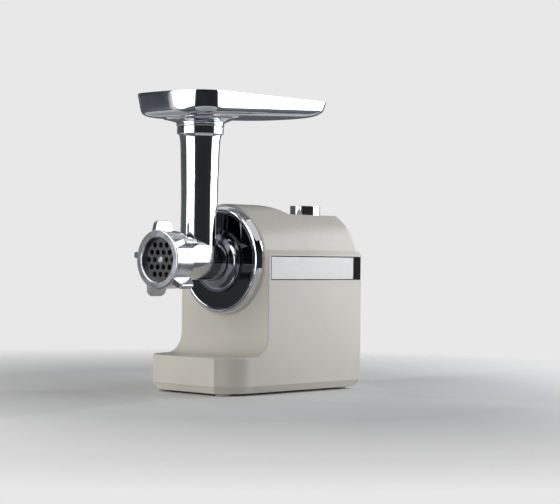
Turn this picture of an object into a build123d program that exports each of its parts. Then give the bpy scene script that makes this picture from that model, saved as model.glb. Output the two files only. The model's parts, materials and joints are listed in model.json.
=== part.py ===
from build123d import *

import math
import os

# Electric meat grinder with a number 8 grinding head.
# X runs across the machine, Y from the ring nut to the rear wall, Z up from the table.
# The head, the auger and the output gear share one horizontal axis along Y.

# ---- overall sizes, mm ----
body_width = 158.0          # across the lower housing
body_depth = 186.0          # front wall to rear wall
lip_overhang = 2.0          # hood lip past the rear wall
head_reach = 121.0          # front wall to the ring nut's face
toe_reach = 73.0            # front wall to the toe's face
axis_z = 170.6              # height of the auger axis
tray_top = 382.6            # rim of the feed tray

# the origin lies on the table, midway between the nut's face and the hood's rear lip
wall_y = (head_reach - body_depth - lip_overhang) / 2
rear_y = wall_y + body_depth
nut_front = wall_y - head_reach
half_width = body_width / 2

# ---- clearances ----
run_fit = 0.08              # radial, shaft in bush
slide_fit = 0.10            # radial, bayonet and plate fits
part_gap = 0.30             # between pieces that only lie beside each other

# ---- housing ----
wall = 2.8
seam_z = 12.0               # joint between the base pan and the housing
toe_top = 48.0
toe_cove = 27.0             # hollow curve from the front wall to the toe
toe_cut_x = 24.0            # corner cut of the toe, across
toe_cut_y = 22.0            # corner cut of the toe, lengthwise
toe_cut_blend = 45.0
toe_edge = 3.0
rear_corner = 3.5
post_top = 44.0             # rear screw posts
belt_rise = 6.9             # auger axis up to the belt's top, where the hood sits
belt_tall = 31.1            # height of the recessed belt
belt_top = axis_z + belt_rise
belt_low = belt_top - belt_tall
belt_inset = 3.0
belt_front = 4.3            # front wall to the start of the belt
grille_return = 18.5        # rear wall to the rear end of the side plates
plate_end = body_depth - grille_return
plate_sink = 0.2
grille_sink = 1.3
belt_slack = 0.25           # round the side plates and the grille

# ---- base pan and feet ----
pan_low = 3.0
pan_taper = 5.0
pan_step = 0.8
pan_wall = 3.0
pan_floor = 2.5
foot_r = 9.5
foot_rise = 1.2             # foot sunk into the pan
front_foot_side = 27.0      # foot centres from the side walls
rear_foot_side = 21.0
front_foot_in = 20.0        # from the toe's face
rear_foot_in = 22.0         # from the rear wall
post_side = 22.0            # base screws from the side walls
post_front_in = 37.0        # from the toe's face
post_rear_in = 50.0         # from the rear wall
post_r = 4.5
post_bite = 9.0             # screw above the seam

# ---- hood ----
arch_inset = 5.2            # arch of the crown, in from the housing's sides
arch_r = half_width - arch_inset
hood_top = axis_z + arch_r
deck_drop = 11.8            # crown down to the lower deck that carries the knob
deck_top = hood_top - deck_drop
slope_y = 50.5              # front wall to the start of the slope behind the crown
slope_round = 38.4
deck_cove = 4.0
hood_lean = 6.7             # rear face, from the lip to the deck
hood_bow = 1.4
rear_edge = 6.0
lip_height = 7.0
lip_edge = 1.2
lip_draw = 4.6              # lip's slope, across
hood_wall = 2.6
lug_tall = 4.0              # screw lugs under the hood
lug_side = 5.0              # half width of a lug, and its screw from the belt wall
lug_front_in = 40.0         # from the front wall
lug_rear_in = 46.0          # from the rear wall
hood_bite = 8.0             # screw above the belt
hood_post = 12.0
skirt_drop = 12.5           # the arch's sides start this far below the belt's top
skirt_low = belt_top - skirt_drop

# ---- bezel, disc and socket ----
bezel_inset = 2.6           # bezel's rim inside the arch
bezel_slope = 6.6           # bezel's rim to its front lip
bezel_bulge = 4.2
bezel_lip = 2.3             # width of the front lip
bezel_r = arch_r - bezel_inset
bezel_front_r = bezel_r - bezel_slope
bezel_proud = 10.8
disc_proud = 11.2
disc_r = bezel_front_r - bezel_lip
disc_sheet = 2.4
disc_rest = 6.3             # disc's rim outside the hole in the front wall
wall_hole_r = disc_r - disc_rest
flare_r = 41.0
flare_front_r = 27.2
flare_proud = 20.0
flare_edge = 14.2
socket_r = 31.0
socket_back = 14.0          # socket's rear face, behind the front wall

# ---- bayonet ----
tail_r = 22.0
tail_back = 12.0
lug_r = 24.8
lug_front = 6.2
lug_long = 5.0
lug_count = 3
lug_span = 36.0             # degrees
twist = 40.0                # degrees from locked to free
lug_slack = 0.4

# ---- grinding head ----
barrel_r = 25.5
barrel_wall = 3.3
thread_r = 33.6
thread_long = 17.0
thread_cone = 7.0
shoulder_round = 3.0
neck_y = 47.7               # in front of the front wall
neck_r = 23.5
neck_bore_r = 20.5
neck_swell = 25.4
neck_waist = 39.4           # from the auger axis to the waist's start
neck_straight = 79.4        # from the auger axis to the waist's end
neck_flare = 35.5           # below the rim, where the neck widens
neck_lip = 13.5             # below the rim, where the swell is widest
rim_r = 29.9
rim_tall = 10.0
rim_drop = 41.1             # tray's rim down to the neck's rim
rim_top = tray_top - rim_drop
rim_low = rim_top - rim_tall
mouth_r = 23.4
mouth_deep = 22.0
neck_fillet = 5.0

# ---- plate, knife and nut ----
plate_r = 31.0
plate_thick = 5.0
plate_recess = 6.5          # nut's face to the plate's face
plate_seat = 2.5            # plate's depth inside the barrel mouth
hole_r = 3.5
hole_pitch = 10.6
hole_rows = 5
pin_r = 4.0                 # auger's front pin
pin_proud = 1.0
key_r = 1.0
key_slack = 0.3
key_reach = 1.6
knife_r = 28.8
knife_thick = 8.0
knife_gap = 0.10
knife_square = 10.0
chamber_r = 29.6
nut_r = 36.4
nut_rim_r = 37.3
nut_rim_long = 3.6
nut_groove = 1.6
nut_groove_long = 1.5
nut_open_r = 27.7
nut_long = 30.5
wing_count = 5
wing_first = 101.0          # degrees from +X
wing_r = 50.0
wing_thick = 7.0
wing_slope = 6.0

# ---- auger ----
auger_gap = 0.5
auger_root_front = 10.5
auger_root_back = 12.5
flight_pitch = 26.0
flight_thick = 3.6
journal_r = 8.0
bush_wall = 4.0
hex_flats = 12.0
hex_reach = 16.0
hex_slack = 0.10

# ---- feed tray ----
tray_half = 68.1
tray_front = 114.2          # in front of the front wall
tray_rear = 136.5           # behind the front wall
tray_corner = 29.5
tray_sheet = 1.6
waist_inset = 4.5           # the wall leans in this far to its foot
waist_drop = 23.3           # rim down to the wall's foot, beside the neck
waist_low = tray_top - waist_drop
waist_rise = 0.05           # it climbs to the rear
bilge_inset = 9.0           # middle of the bend from wall to floor
bilge_drop = 26.4
bilge_low = tray_top - bilge_drop
floor_inset = 17.0
floor_drop = 28.1
floor_low = tray_top - floor_drop
floor_rise = 0.055
funnel_r = 49.0
funnel_ahead = 8.0          # the funnel's mouth lies ahead of the neck
funnel_drop = 36.3
funnel_low = tray_top - funnel_drop
skirt_r = 30.8
spigot_wall = 1.6
spigot_long = 20.0
spigot_gap = 0.4

# ---- knob and switch ----
knob_in = 30.0              # from the rear wall
knob_y = body_depth - knob_in
knob_r = 20.5
knob_rise = 13.4            # deck to the knob's top
knob_top = deck_top + knob_rise
knob_gap = 0.4
knob_wall = 2.2
knob_edge = 0.8
spindle_r = 3.0
switch_side = 32.0
switch_tall = 20.0
switch_drop = 1.2

# ---- gear train ----
pressure = 25.0             # degrees
tooth_height = 0.8          # addendum in modules
backlash = 0.10             # share of the circular pitch left free
last_module = 2.0
last_pinion_teeth = 12
output_teeth = 48
mid_module = 1.5
mid_pinion_teeth = 12
mid_teeth = 48
first_module = 1.0
motor_teeth = 10
first_teeth = 60
last_width = 16.0
mid_width = 10.0
first_width = 8.0
gear_gap = 2.0
layshaft_r = 4.0
sleeve_r = 11.0
cover_thick = 4.0
case_wall = 3.0
case_gap = 3.5
mid_shaft_x = 20.0
ear_out = 5.0
motor_drop = 92.6           # auger axis down to the motor's axis
motor_z = axis_z - motor_drop

# ---- motor ----
motor_shaft_r = 4.0
pinion_shaft_r = 3.0
bracket_thick = 3.0
bearing_long = 7.0
bearing_r = 11.0
fan_r = 36.0
fan_long = 12.0
fan_blades = 9
motor_clear = 6.2           # rear bearing to the rear wall
air_gap = 0.3
armature_r = 22.0
coil_off = 0.9              # coils outside the bore
coil_tall = 6.5
coil_half = 21.7
coil_slack = 0.3
pole_depth = 6.3            # pockets reach this far inside the bore
yoke = 8.0                  # iron outside the coils
yoke_side = 19.7            # iron beside the bore
stack_width = 2 * (armature_r + air_gap + yoke_side)
stack_height = 2 * (armature_r + air_gap + coil_off + coil_tall + coil_slack + yoke)
winding_over = 7.0
commutator_r = 12.0
commutator_long = 13.0
brush_side = 6.0
brush_long = 14.0
bolt_r = 2.0
bolt_in = 7.0               # bolts in from the stack's corners
saddle_half = 28.0
saddle_leg = 10.0
saddle_deck = 8.0
saddle_in = 4.0

# ---- small parts ----
gland_r = 9.0
gland_bore = 3.6
gland_tube_r = 6.5
gland_side = 34.0           # from the right wall
gland_x = half_width - gland_side
gland_z = 34.0
board_thick = 1.6
board_low = 48.0
board_tall = 56.0
board_long = 64.0
board_in = 26.0             # from the rear wall
board_off = 8.0             # off the left wall
board_edge = 5.0            # rails in from the board's edges
board_rail_r = 3.0
can_r = 7.0
can_tall = 16.0
relay_long = 18.0
relay_tall = 16.0
relay_deep = 13.0
sink_long = 44.0
sink_tall = 18.0
sink_deep = 12.0
sink_pitch = 12.0
sink_fin = 1.6
board_margin = 8.0
screw_r = 1.5
screw_head_r = 3.0
screw_head = 2.0


# ---------------------------------------------------------------- helpers
LOW = (Align.CENTER, Align.CENTER, Align.MIN)


def rod(radius, y_low, y_high, x=0.0, z=axis_z):
    """Round bar along Y between two Y places."""
    return Pos(x, y_low, z) * Rot(X=-90) * Cylinder(radius, y_high - y_low, align=LOW)


def tube(r_out, r_in, y_low, y_high, x=0.0, z=axis_z):
    """Tube along Y between two Y places."""
    return rod(r_out, y_low, y_high, x, z) - rod(r_in, y_low, y_high, x, z)


def post(radius, z_low, z_high, x, y):
    """Round bar along Z between two heights."""
    return Pos(x, y, z_low) * Cylinder(radius, z_high - z_low, align=LOW)


def block(x_low, x_high, y_low, y_high, z_low, z_high):
    """Box between two corners."""
    centre = Pos((x_low + x_high) / 2, (y_low + y_high) / 2, (z_low + z_high) / 2)
    return centre * Box(x_high - x_low, y_high - y_low, z_high - z_low)


def turned(outline, x=0.0, z=axis_z):
    """Solid of revolution about an axis along Y, from (radius, y) edges."""
    return Pos(x, 0, z) * revolve(make_face(outline), Axis.Y)


def turned_points(points, x=0.0, z=axis_z):
    """Solid of revolution about an axis along Y, from (radius, y) corners."""
    return turned(Polyline(*points, close=True), x, z)


def round_about_axis(shape, count, first=0.0):
    """Copies of a shape turned about the auger axis, first angle in degrees from +X."""
    centre = Pos(0, 0, axis_z)
    return [centre * Rot(Y=-(first + i * 360 / count)) * shape for i in range(count)]


def fuse(shapes):
    """One solid from shapes that meet."""
    whole = shapes[0]
    for shape in shapes[1:]:
        whole += shape
    return whole


def group(shapes):
    """Separate solids kept side by side in one node."""
    return Compound(children=[solid for shape in shapes for solid in shape.solids()])


def save(name, shape):
    """Writes one sub-part."""
    solids = shape.solids()
    out = solids[0] if len(solids) == 1 else Compound(children=list(solids))
    export_step(out, f"parts/{name}.step")


# ---------------------------------------------------------------- outlines
def body_plan(inset, with_toe=True):
    """Plan outline of the housing, set in by a distance."""
    side = half_width - inset
    back = rear_y - inset
    front = wall_y + inset
    corner = max(rear_corner - inset, 1.0)
    if not with_toe:
        plan = make_face(
            Polyline((-side, front), (side, front), (side, back), (-side, back), close=True)
        )
        return fillet(plan.vertices().filter_by_position(Axis.Y, back - 1, back + 1), corner)
    # the corner cut keeps its distance from the outer face all along
    toe_y = wall_y - toe_reach + inset
    slant = math.hypot(toe_cut_x, toe_cut_y)
    cut_x = toe_cut_x - inset * (slant - toe_cut_x) / toe_cut_y
    cut_y = toe_cut_y - inset * (slant - toe_cut_y) / toe_cut_x
    points = [
        (-side, back),
        (-side, toe_y + cut_y),
        (-side + cut_x, toe_y),
        (side - cut_x, toe_y),
        (side, toe_y + cut_y),
        (side, back),
    ]
    plan = make_face(Polyline(*points, close=True))
    plan = fillet(plan.vertices().filter_by_position(Axis.Y, back - 1, back + 1), corner)
    blend = toe_cut_blend - inset
    flank = plan.vertices().filter_by_position(Axis.Y, toe_y + cut_y - 0.01, toe_y + cut_y + 0.01)
    plan = fillet(flank, blend)
    nose = plan.vertices().filter_by_position(Axis.Y, toe_y - 0.01, toe_y + 0.01)
    return fillet(nose, max(toe_edge - inset, 0.5))


def side_profile(inset, top):
    """Side outline of the housing with the toe and its cove, set in by a distance."""
    front = wall_y + inset
    toe_y = wall_y - toe_reach + inset
    shelf = toe_top - inset
    cove = toe_cove + inset
    outline = [
        Line((rear_y - inset, seam_z), (rear_y - inset, top)),
        Line((rear_y - inset, top), (front, top)),
        Line((front, top), (front, shelf + cove)),
        RadiusArc((front, shelf + cove), (front - cove, shelf), cove),
        Line((front - cove, shelf), (toe_y, shelf)),
        Line((toe_y, shelf), (toe_y, seam_z)),
        Line((toe_y, seam_z), (rear_y - inset, seam_z)),
    ]
    return make_face(outline)


def housing_form(inset, low, top):
    """Tower and toe as one solid form, set in by a distance."""
    across = extrude(Plane.YZ * side_profile(inset, top), amount=half_width, both=True)
    upright = extrude(Plane.XY.offset(low) * body_plan(inset), amount=top - low)
    return across & upright


def belt_strip(inset_out, inset_in, y_low, y_high):
    """Upright band that follows the belt between two insets and two Y places."""
    low = belt_low + belt_slack
    tall = belt_top - belt_low - 2 * belt_slack
    outer = extrude(Plane.XY.offset(low) * body_plan(inset_out, False), amount=tall)
    inner = extrude(Plane.XY.offset(low) * body_plan(inset_in, False), amount=tall)
    window = block(-body_width, body_width, y_low, y_high, low, low + tall)
    return (outer - inner) & window


# ---------------------------------------------------------------- hood
def hood_profile(inset):
    """Side outline of the hood: crown, slope, deck and leaning rear face."""
    front = wall_y + inset
    crown = hood_top + 2 - inset
    deck = deck_top - inset
    foot = belt_top + lip_height
    back = rear_y - lip_overhang - inset
    bend = slope_round - inset
    bend_y = wall_y + slope_y
    bend_z = hood_top - slope_round
    reach = bend_y + math.sqrt(bend * bend - (deck - bend_z) ** 2)
    middle = (back - hood_lean / 2 + hood_bow, (foot + deck) / 2)
    outline = [
        Line((front, skirt_low), (front, crown)),
        Line((front, crown), (bend_y, crown)),
        Line((bend_y, crown), (bend_y, bend_z + bend)),
        RadiusArc((bend_y, bend_z + bend), (reach, deck), bend),
        Line((reach, deck), (back - hood_lean, deck)),
        ThreePointArc((back - hood_lean, deck), middle, (back, foot)),
        Line((back, foot), (back, skirt_low)),
        Line((back, skirt_low), (front, skirt_low)),
    ]
    face = make_face(outline)
    corner = face.vertices().filter_by_position(Axis.X, reach - 0.1, reach + 0.1)
    return fillet(corner, deck_cove + inset)


def hood_arch(inset):
    """Cross-section of the hood: an arch round the auger axis on upright sides."""
    radius = arch_r - inset
    outline = [
        Line((radius, skirt_low), (radius, axis_z)),
        ThreePointArc((radius, axis_z), (0, axis_z + radius), (-radius, axis_z)),
        Line((-radius, axis_z), (-radius, skirt_low)),
        Line((-radius, skirt_low), (radius, skirt_low)),
    ]
    return make_face(outline)


def hood_form(inset):
    """Solid form of the hood, set in by a distance."""
    along = extrude(Plane.YZ * hood_profile(inset), amount=half_width, both=True)
    arch = extrude(Plane.XZ * hood_arch(inset), amount=body_depth, dir=(0, 1, 0))
    return along & (Pos(0, wall_y, 0) * arch)


def rounded_hood_form():
    """Outer form of the hood with its rear and deck edges softened."""
    form = hood_form(0)
    back = rear_y - lip_overhang - hood_lean - 1
    rear = [
        edge
        for edge in form.edges()
        if edge.center().Y > back
        and abs(edge.center().X) > 30
        and edge.bounding_box().max.Z > belt_top + 5
    ]
    return fillet(rear, rear_edge)


def hood_shell():
    """Upper moulding: arch over the gearbox, lower deck behind it and a sheltering lip."""
    body = rounded_hood_form()
    body -= block(-body_width, body_width, nut_front, rear_y + 9, 0, belt_top)
    body += extrude(Plane.XY.offset(belt_top) * lip_plan(0), amount=lip_edge)
    body += loft(
        [
            Plane.XY.offset(belt_top + lip_edge) * lip_plan(0),
            Plane.XY.offset(belt_top + lip_height) * lip_plan(lip_draw),
        ],
        ruled=True,
    )
    body -= hood_form(hood_wall)
    body -= rod(wall_hole_r, wall_y - 1, wall_y + wall + 1)
    body -= post(spindle_r + 1.5, belt_top, hood_top, 0, wall_y + knob_y)
    for x, y in hood_screw_places():
        body += post(lug_side, belt_top, belt_top + hood_post, x, y) & hood_form(1)
        body -= post(screw_r, belt_top - 1, belt_top + hood_bite + 1, x, y)
    return body


def lip_plan(inset):
    """Plan outline of the hood lip, set in by a distance at the sides and the rear."""
    side = half_width - inset
    back = rear_y + lip_overhang - inset
    plan = make_face(
        Polyline((-side, wall_y), (side, wall_y), (side, back), (-side, back), close=True)
    )
    corner = rear_corner - inset / 2
    return fillet(plan.vertices().filter_by_position(Axis.Y, back - 1, back + 1), corner)


# ---------------------------------------------------------------- lower housing
def screw_posts():
    """Places of the four posts that take the base screws."""
    side = half_width - post_side
    rows = (wall_y - toe_reach + post_front_in, rear_y - post_rear_in)
    return [(sx * side, y) for sx in (-1, 1) for y in rows]


def lower_housing():
    """Lower moulding: tower, toe, recessed belt and the posts inside."""
    outer = housing_form(0, seam_z, belt_top)
    rim = outer.edges().filter_by_position(Axis.Z, toe_top - 0.01, toe_top + 0.01)
    rim = [edge for edge in rim if edge.center().Y < wall_y - toe_reach + 30]
    outer = fillet(rim, 1.2)
    inner = housing_form(wall, seam_z - 1, belt_top + 1)
    inner &= block(-body_width, body_width, nut_front, rear_y, seam_z - 1, belt_top + 1)
    # the belt: outer face cut back, wall behind it kept
    high = belt_top - belt_low
    band = extrude(Plane.XY.offset(belt_low) * body_plan(-5, False), amount=high + 1)
    band -= extrude(Plane.XY.offset(belt_low) * body_plan(belt_inset, False), amount=high + 1)
    behind = block(
        -body_width, body_width, wall_y + belt_front, rear_y + 9, belt_low, belt_top + 1
    )
    belt_wall = extrude(
        Plane.XY.offset(belt_low - wall) * body_plan(0.5, False), amount=high + wall
    )
    belt_wall -= extrude(
        Plane.XY.offset(belt_low - wall) * body_plan(belt_inset + wall, False), amount=high + wall
    )
    belt_wall &= block(
        -body_width, body_width, wall_y + wall, rear_y + 9, belt_low - wall, belt_top
    )
    clear = half_width - belt_inset - wall
    belt_wall -= block(-clear, clear, wall_y, wall_y + 9, belt_low - wall - 1, belt_top + 1)
    shell = (outer - inner) + (belt_wall & outer)
    shell -= band & behind
    shell -= rod(wall_hole_r, wall_y - 1, wall_y + wall + 1)
    shell -= vent_window()
    shell += fuse(wall_bosses())
    shell -= fuse([rod(screw_r, wall_y + 4, wall_y + socket_back, x, z) for x, z in wall_screws()])
    for x, y in screw_posts():
        roof = toe_top - wall + 0.5 if y < wall_y else post_top
        bore = post(screw_r, 0, seam_z + post_bite + 1, x, y)
        shell += post(post_r, pan_low + pan_floor, roof, x, y) - bore
    shell += post_ribs()
    shell += board_rails()
    for x, y in hood_screw_places():
        reach = half_width - belt_inset - wall + 0.3
        low, high = sorted((x - math.copysign(lug_side, x), math.copysign(reach, x)))
        shell += block(low, high, y - lug_side, y + lug_side, belt_top - lug_tall, belt_top)
        shell -= post(screw_r, belt_top - lug_tall - 5, belt_top + 1, x, y)
    shell -= rod(gland_tube_r, rear_y - wall - 1, rear_y + 1, gland_x, gland_z)
    return shell


def post_ribs():
    """Ribs that tie the rear screw posts to the side walls."""
    ribs = []
    for x, y in screw_posts():
        if y > wall_y:
            reach = half_width - wall + 0.1
            low, high = sorted((math.copysign(reach, x), x + math.copysign(3, x)))
            ribs.append(block(low, high, y - 1, y + 1, seam_z + 4, post_top))
    return fuse(ribs)


def vent_window():
    """Opening in the belt wall behind the rear grille."""
    side = half_width - rear_corner - belt_inset - 4
    low = belt_low + 5
    return block(-side, side, rear_y - 12, rear_y + 1, low, belt_top - 5)


def wall_screws():
    """Places of the four screws that hold the gearbox to the front wall."""
    output, second, first, _ = train_places()
    radii = case_radii(case_wall)
    return [
        around(output, radii[0] + ear_out, -6),
        around(output, radii[0] + ear_out, 186),
        around(second, radii[1] + ear_out, -40),
        around(first, radii[2] + ear_out, -135),
    ]


def around(place, reach, angle):
    """Point at a distance from a place, in a direction from +X towards +Z."""
    turn = math.radians(angle)
    return place[0] + reach * math.cos(turn), place[1] + reach * math.sin(turn)


def wall_bosses():
    """Bosses behind the front wall that the gearbox cover's ears rest on."""
    return [rod(5, wall_y + 1, wall_y + socket_back, x, z) for x, z in wall_screws()]


def board_place():
    """Box of the control board on the left wall: x, y low, y high, z low, z high."""
    x = -(half_width - wall - board_off)
    y_high = rear_y - board_in
    return x, y_high - board_long, y_high, board_low, board_low + board_tall


def board_rails():
    """Four short posts on the left wall that the control board is screwed to."""
    x, y_low, y_high, z_low, z_high = board_place()
    rails = []
    for y in (y_low + board_edge, y_high - board_edge):
        for z in (z_low + board_edge, z_high - board_edge):
            rails.append(Pos(-half_width + 1, y, z) * Rot(Y=90) * Cylinder(
                board_rail_r, half_width - 1 + x, align=LOW))
    return fuse(rails)


# ---------------------------------------------------------------- base
def base_pan():
    """Tapered pan that closes the housing from below and carries the feet."""
    top = seam_z
    outer = loft(
        [
            Plane.XY.offset(pan_low) * body_plan(pan_taper + pan_step),
            Plane.XY.offset(top) * body_plan(pan_step),
        ],
        ruled=True,
    )
    inner = loft(
        [
            Plane.XY.offset(pan_low + pan_floor) * body_plan(pan_taper + pan_step + pan_wall),
            Plane.XY.offset(top + 0.01) * body_plan(pan_step + pan_wall),
        ],
        ruled=True,
    )
    pan = outer - inner
    for x, y in foot_places():
        pan -= post(foot_r, 0, pan_low + foot_rise, x, y)
    for x, y in screw_posts():
        pan -= post(screw_r, 0, seam_z, x, y)
        pan -= post(screw_head_r, 0, pan_low + screw_head, x, y)
    return pan - pan_vents()


def pan_vents():
    """Cooling slots in the pan's floor under the motor."""
    slots = []
    for i in range(6):
        y = wall_y + 84 + i * 9
        slots.append(block(-24, 24, y, y + 4, 0, pan_low + pan_floor))
    return fuse(slots)


def foot_places():
    """Centres of the four feet."""
    front = wall_y - toe_reach + front_foot_in
    rear = rear_y - rear_foot_in
    front_x = half_width - front_foot_side
    rear_x = half_width - rear_foot_side
    return [(-front_x, front), (front_x, front), (-rear_x, rear), (rear_x, rear)]


def rubber_feet():
    """Four round pads with a softened lower edge."""
    feet = []
    for x, y in foot_places():
        pad = post(foot_r, 0, pan_low + foot_rise, x, y)
        low = pad.edges().group_by(Axis.Z)[0]
        feet.append(fillet(low, 1.0))
    return group(feet)


def base_screws():
    """Screws from below into the housing's posts."""
    screws = []
    for x, y in screw_posts():
        head = post(screw_head_r, pan_low + 0.2, pan_low + screw_head, x, y)
        screws.append(head + post(screw_r, pan_low + screw_head, seam_z + post_bite, x, y))
    return group(screws)


def hood_screw_places():
    """Places of the screws that pull the hood onto the belt wall."""
    side = half_width - belt_inset - wall - lug_side
    rows = (wall_y + lug_front_in, rear_y - lug_rear_in)
    return [(sx * side, y) for sx in (-1, 1) for y in rows]


def hood_screws():
    """Screws from below through the belt's lugs into the hood."""
    screws = []
    low = belt_top - lug_tall
    for x, y in hood_screw_places():
        head = post(screw_head_r, low - screw_head, low, x, y)
        screws.append(head + post(screw_r, low, belt_top + hood_bite, x, y))
    return group(screws)


# ---------------------------------------------------------------- trim
def side_plate(side):
    """Bright bare plate let into the belt on one side."""
    y_low = wall_y + belt_front + belt_slack
    strip = belt_strip(plate_sink, belt_inset, y_low, wall_y + plate_end)
    x_low, x_high = sorted((0.0, side * body_width))
    return strip & block(x_low, x_high, wall_y, rear_y, belt_low, belt_top)


def rear_vent_grille():
    """Black louvred band that wraps round the rear of the belt."""
    y_low = wall_y + plate_end + belt_slack
    strip = belt_strip(grille_sink, belt_inset, y_low, rear_y)
    side = half_width - rear_corner - belt_inset - 8
    slots = []
    count = 15
    for i in range(count):
        x = -side + 2 * side * i / (count - 1)
        slots.append(block(x - 1.4, x + 1.4, rear_y - 8, rear_y + 1, belt_low + 6, belt_top - 6))
    return strip - fuse(slots)


def bezel_ring():
    """Chrome ring round the mounting disc, bulging from its front lip to the wall."""
    inner = disc_r + part_gap
    front = wall_y - bezel_proud
    outline = [
        Line((inner, wall_y), (inner, front)),
        Line((inner, front), (bezel_front_r, front)),
        ThreePointArc(
            (bezel_front_r, front),
            (bezel_front_r + bezel_bulge, front + bezel_proud / 3),
            (bezel_r, wall_y - 1.6),
        ),
        Line((bezel_r, wall_y - 1.6), (bezel_r, wall_y)),
        Line((bezel_r, wall_y), (inner, wall_y)),
    ]
    return turned(outline)


def mounting_disc():
    """Mirror-bright pressed disc, its rim standing on the front wall."""
    front = wall_y - disc_proud
    hole = socket_r + part_gap
    return turned_points(
        [
            (hole, front),
            (disc_r - 0.8, front),
            (disc_r, front + 0.8),
            (disc_r, wall_y),
            (disc_r - disc_sheet, wall_y),
            (disc_r - disc_sheet, front + disc_sheet),
            (hole, front + disc_sheet),
        ]
    )


def lug_bars(radius, y_low, y_high, span, first):
    """Fan-shaped bars round the tail, one for each bayonet lug, first at an angle from +X."""
    half = math.radians(span / 2)
    near = tail_r - 3
    across, along = math.sin(half), math.cos(half)
    outline = [
        Line((near * along, -near * across), (radius * along, -radius * across)),
        ThreePointArc(
            (radius * along, -radius * across), (radius, 0), (radius * along, radius * across)),
        Line((radius * along, radius * across), (near * along, near * across)),
        Line((near * along, near * across), (near * along, -near * across)),
    ]
    bar = extrude(Plane.XZ * make_face(outline), amount=y_high - y_low, dir=(0, 1, 0))
    return round_about_axis(Pos(0, y_low, 0) * bar, lug_count, first)


def head_socket():
    """Flared socket with a bayonet groove, screwed to the gearbox cover."""
    front = wall_y - flare_proud
    edge = wall_y - flare_edge
    seat = wall_y - disc_proud
    back = wall_y + socket_back
    outline = [
        Line((0, front), (flare_front_r, front)),
        ThreePointArc(
            (flare_front_r, front),
            (flare_front_r + 5.0, front + 4.2),
            (flare_r, edge),
        ),
        Line((flare_r, edge), (flare_r, seat)),
        Line((flare_r, seat), (socket_r, seat)),
        Line((socket_r, seat), (socket_r, back)),
        Line((socket_r, back), (0, back)),
        Line((0, back), (0, front)),
    ]
    groove_front = wall_y + lug_front - lug_slack
    groove_back = wall_y + lug_front + lug_long + lug_slack
    hollow = rod(tail_r + slide_fit, front - 1, back + 1)
    hollow += rod(lug_r + lug_slack, groove_front, groove_back)
    slot_r = lug_r + lug_slack - 0.05
    for slot in lug_bars(slot_r, front - 1, groove_front + 1, lug_span + 4, 90 - twist):
        hollow += slot
    body = turned(outline) - hollow
    return body - fuse([rod(bolt_r, wall_y, back + 1, x, z) for x, z in socket_screws()])


def socket_screws():
    """Places of the three screws between the socket and the gearbox cover."""
    reach = (socket_r + lug_r + lug_slack) / 2
    return [
        (
            reach * math.cos(math.radians(30 + 120 * i)),
            axis_z + reach * math.sin(math.radians(30 + 120 * i)),
        )
        for i in range(3)
    ]


# ---------------------------------------------------------------- grinding head
def mouth_y():
    """Front edge of the barrel."""
    return nut_front + plate_recess + plate_thick - plate_seat


def bore_end():
    """Rear end of the barrel's bore, ahead of the socket."""
    return wall_y - flare_proud - barrel_wall - 1


def barrel_form():
    """Outside of the barrel: thread, cone, cylinder, rounded shoulder and tail."""
    mouth = mouth_y()
    thread_end = mouth + thread_long
    cone_end = thread_end + thread_cone
    shoulder = wall_y - flare_proud - part_gap
    tail = wall_y + tail_back
    outline = [
        Line((0, mouth), (thread_r - 0.6, mouth)),
        Line((thread_r - 0.6, mouth), (thread_r, mouth + 0.6)),
        Line((thread_r, mouth + 0.6), (thread_r, thread_end)),
        Line((thread_r, thread_end), (barrel_r, cone_end)),
        Line((barrel_r, cone_end), (barrel_r, shoulder - shoulder_round)),
        RadiusArc(
            (barrel_r, shoulder - shoulder_round), (barrel_r - shoulder_round, shoulder),
            -shoulder_round),
        Line((barrel_r - shoulder_round, shoulder), (tail_r, shoulder)),
        Line((tail_r, shoulder), (tail_r, tail)),
        Line((tail_r, tail), (0, tail)),
        Line((0, tail), (0, mouth)),
    ]
    return turned(outline)


def neck_form():
    """Outside of the neck, waisted above the barrel and swelling to its rim."""
    y = wall_y - neck_y
    foot = neck_r + 0.6
    side = Spline(
        (foot, axis_z),
        (neck_r + 0.2, axis_z + neck_waist),
        (neck_r, axis_z + neck_straight),
        (neck_r + 1.1, rim_low - neck_flare),
        (neck_swell, rim_low - neck_lip),
        (rim_r - 2.2, rim_low),
        tangents=[(-0.01, 1), (0.5, 1)],
    )
    outline = [
        Line((0, axis_z), (foot, axis_z)),
        side,
        Line((rim_r - 2.2, rim_low), (rim_r, rim_low + 0.6)),
        Line((rim_r, rim_low + 0.6), (rim_r, rim_top - 1.0)),
        Line((rim_r, rim_top - 1.0), (rim_r - 1.0, rim_top)),
        Line((rim_r - 1.0, rim_top), (0, rim_top)),
        Line((0, rim_top), (0, axis_z)),
    ]
    return Pos(0, y, 0) * revolve(Plane.XZ * make_face(outline), Axis.Z)


def grinder_head():
    """Cast head: threaded barrel, neck with a flared mouth, tail with bayonet lugs."""
    y = wall_y - neck_y
    body = barrel_form() + neck_form()
    joint = [
        edge
        for edge in body.edges()
        if edge.bounding_box().min.Z > axis_z + 2
        and edge.bounding_box().max.Z < axis_z + barrel_r + 2
    ]
    body = fillet(joint, neck_fillet)
    lug_y = wall_y + lug_front
    for lug in lug_bars(lug_r, lug_y, lug_y + lug_long, lug_span, 90):
        body += lug
    mouth = mouth_y()
    seat = mouth + plate_seat
    chamber_end = seat + knife_gap + knife_thick + 0.6
    body -= rod(plate_r + slide_fit + 0.1, mouth - 1, seat)
    body -= rod(chamber_r, seat - 1, chamber_end)
    body -= rod(barrel_r - barrel_wall, chamber_end - 1, bore_end())
    body -= rod(journal_r + run_fit + bush_wall, bore_end() - 1, wall_y + tail_back + 1)
    body -= post(neck_bore_r, axis_z, rim_top + 1, 0, y)
    body -= post(mouth_r, rim_top - mouth_deep, rim_top + 1, 0, y)
    return body - plate_key()


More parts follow.
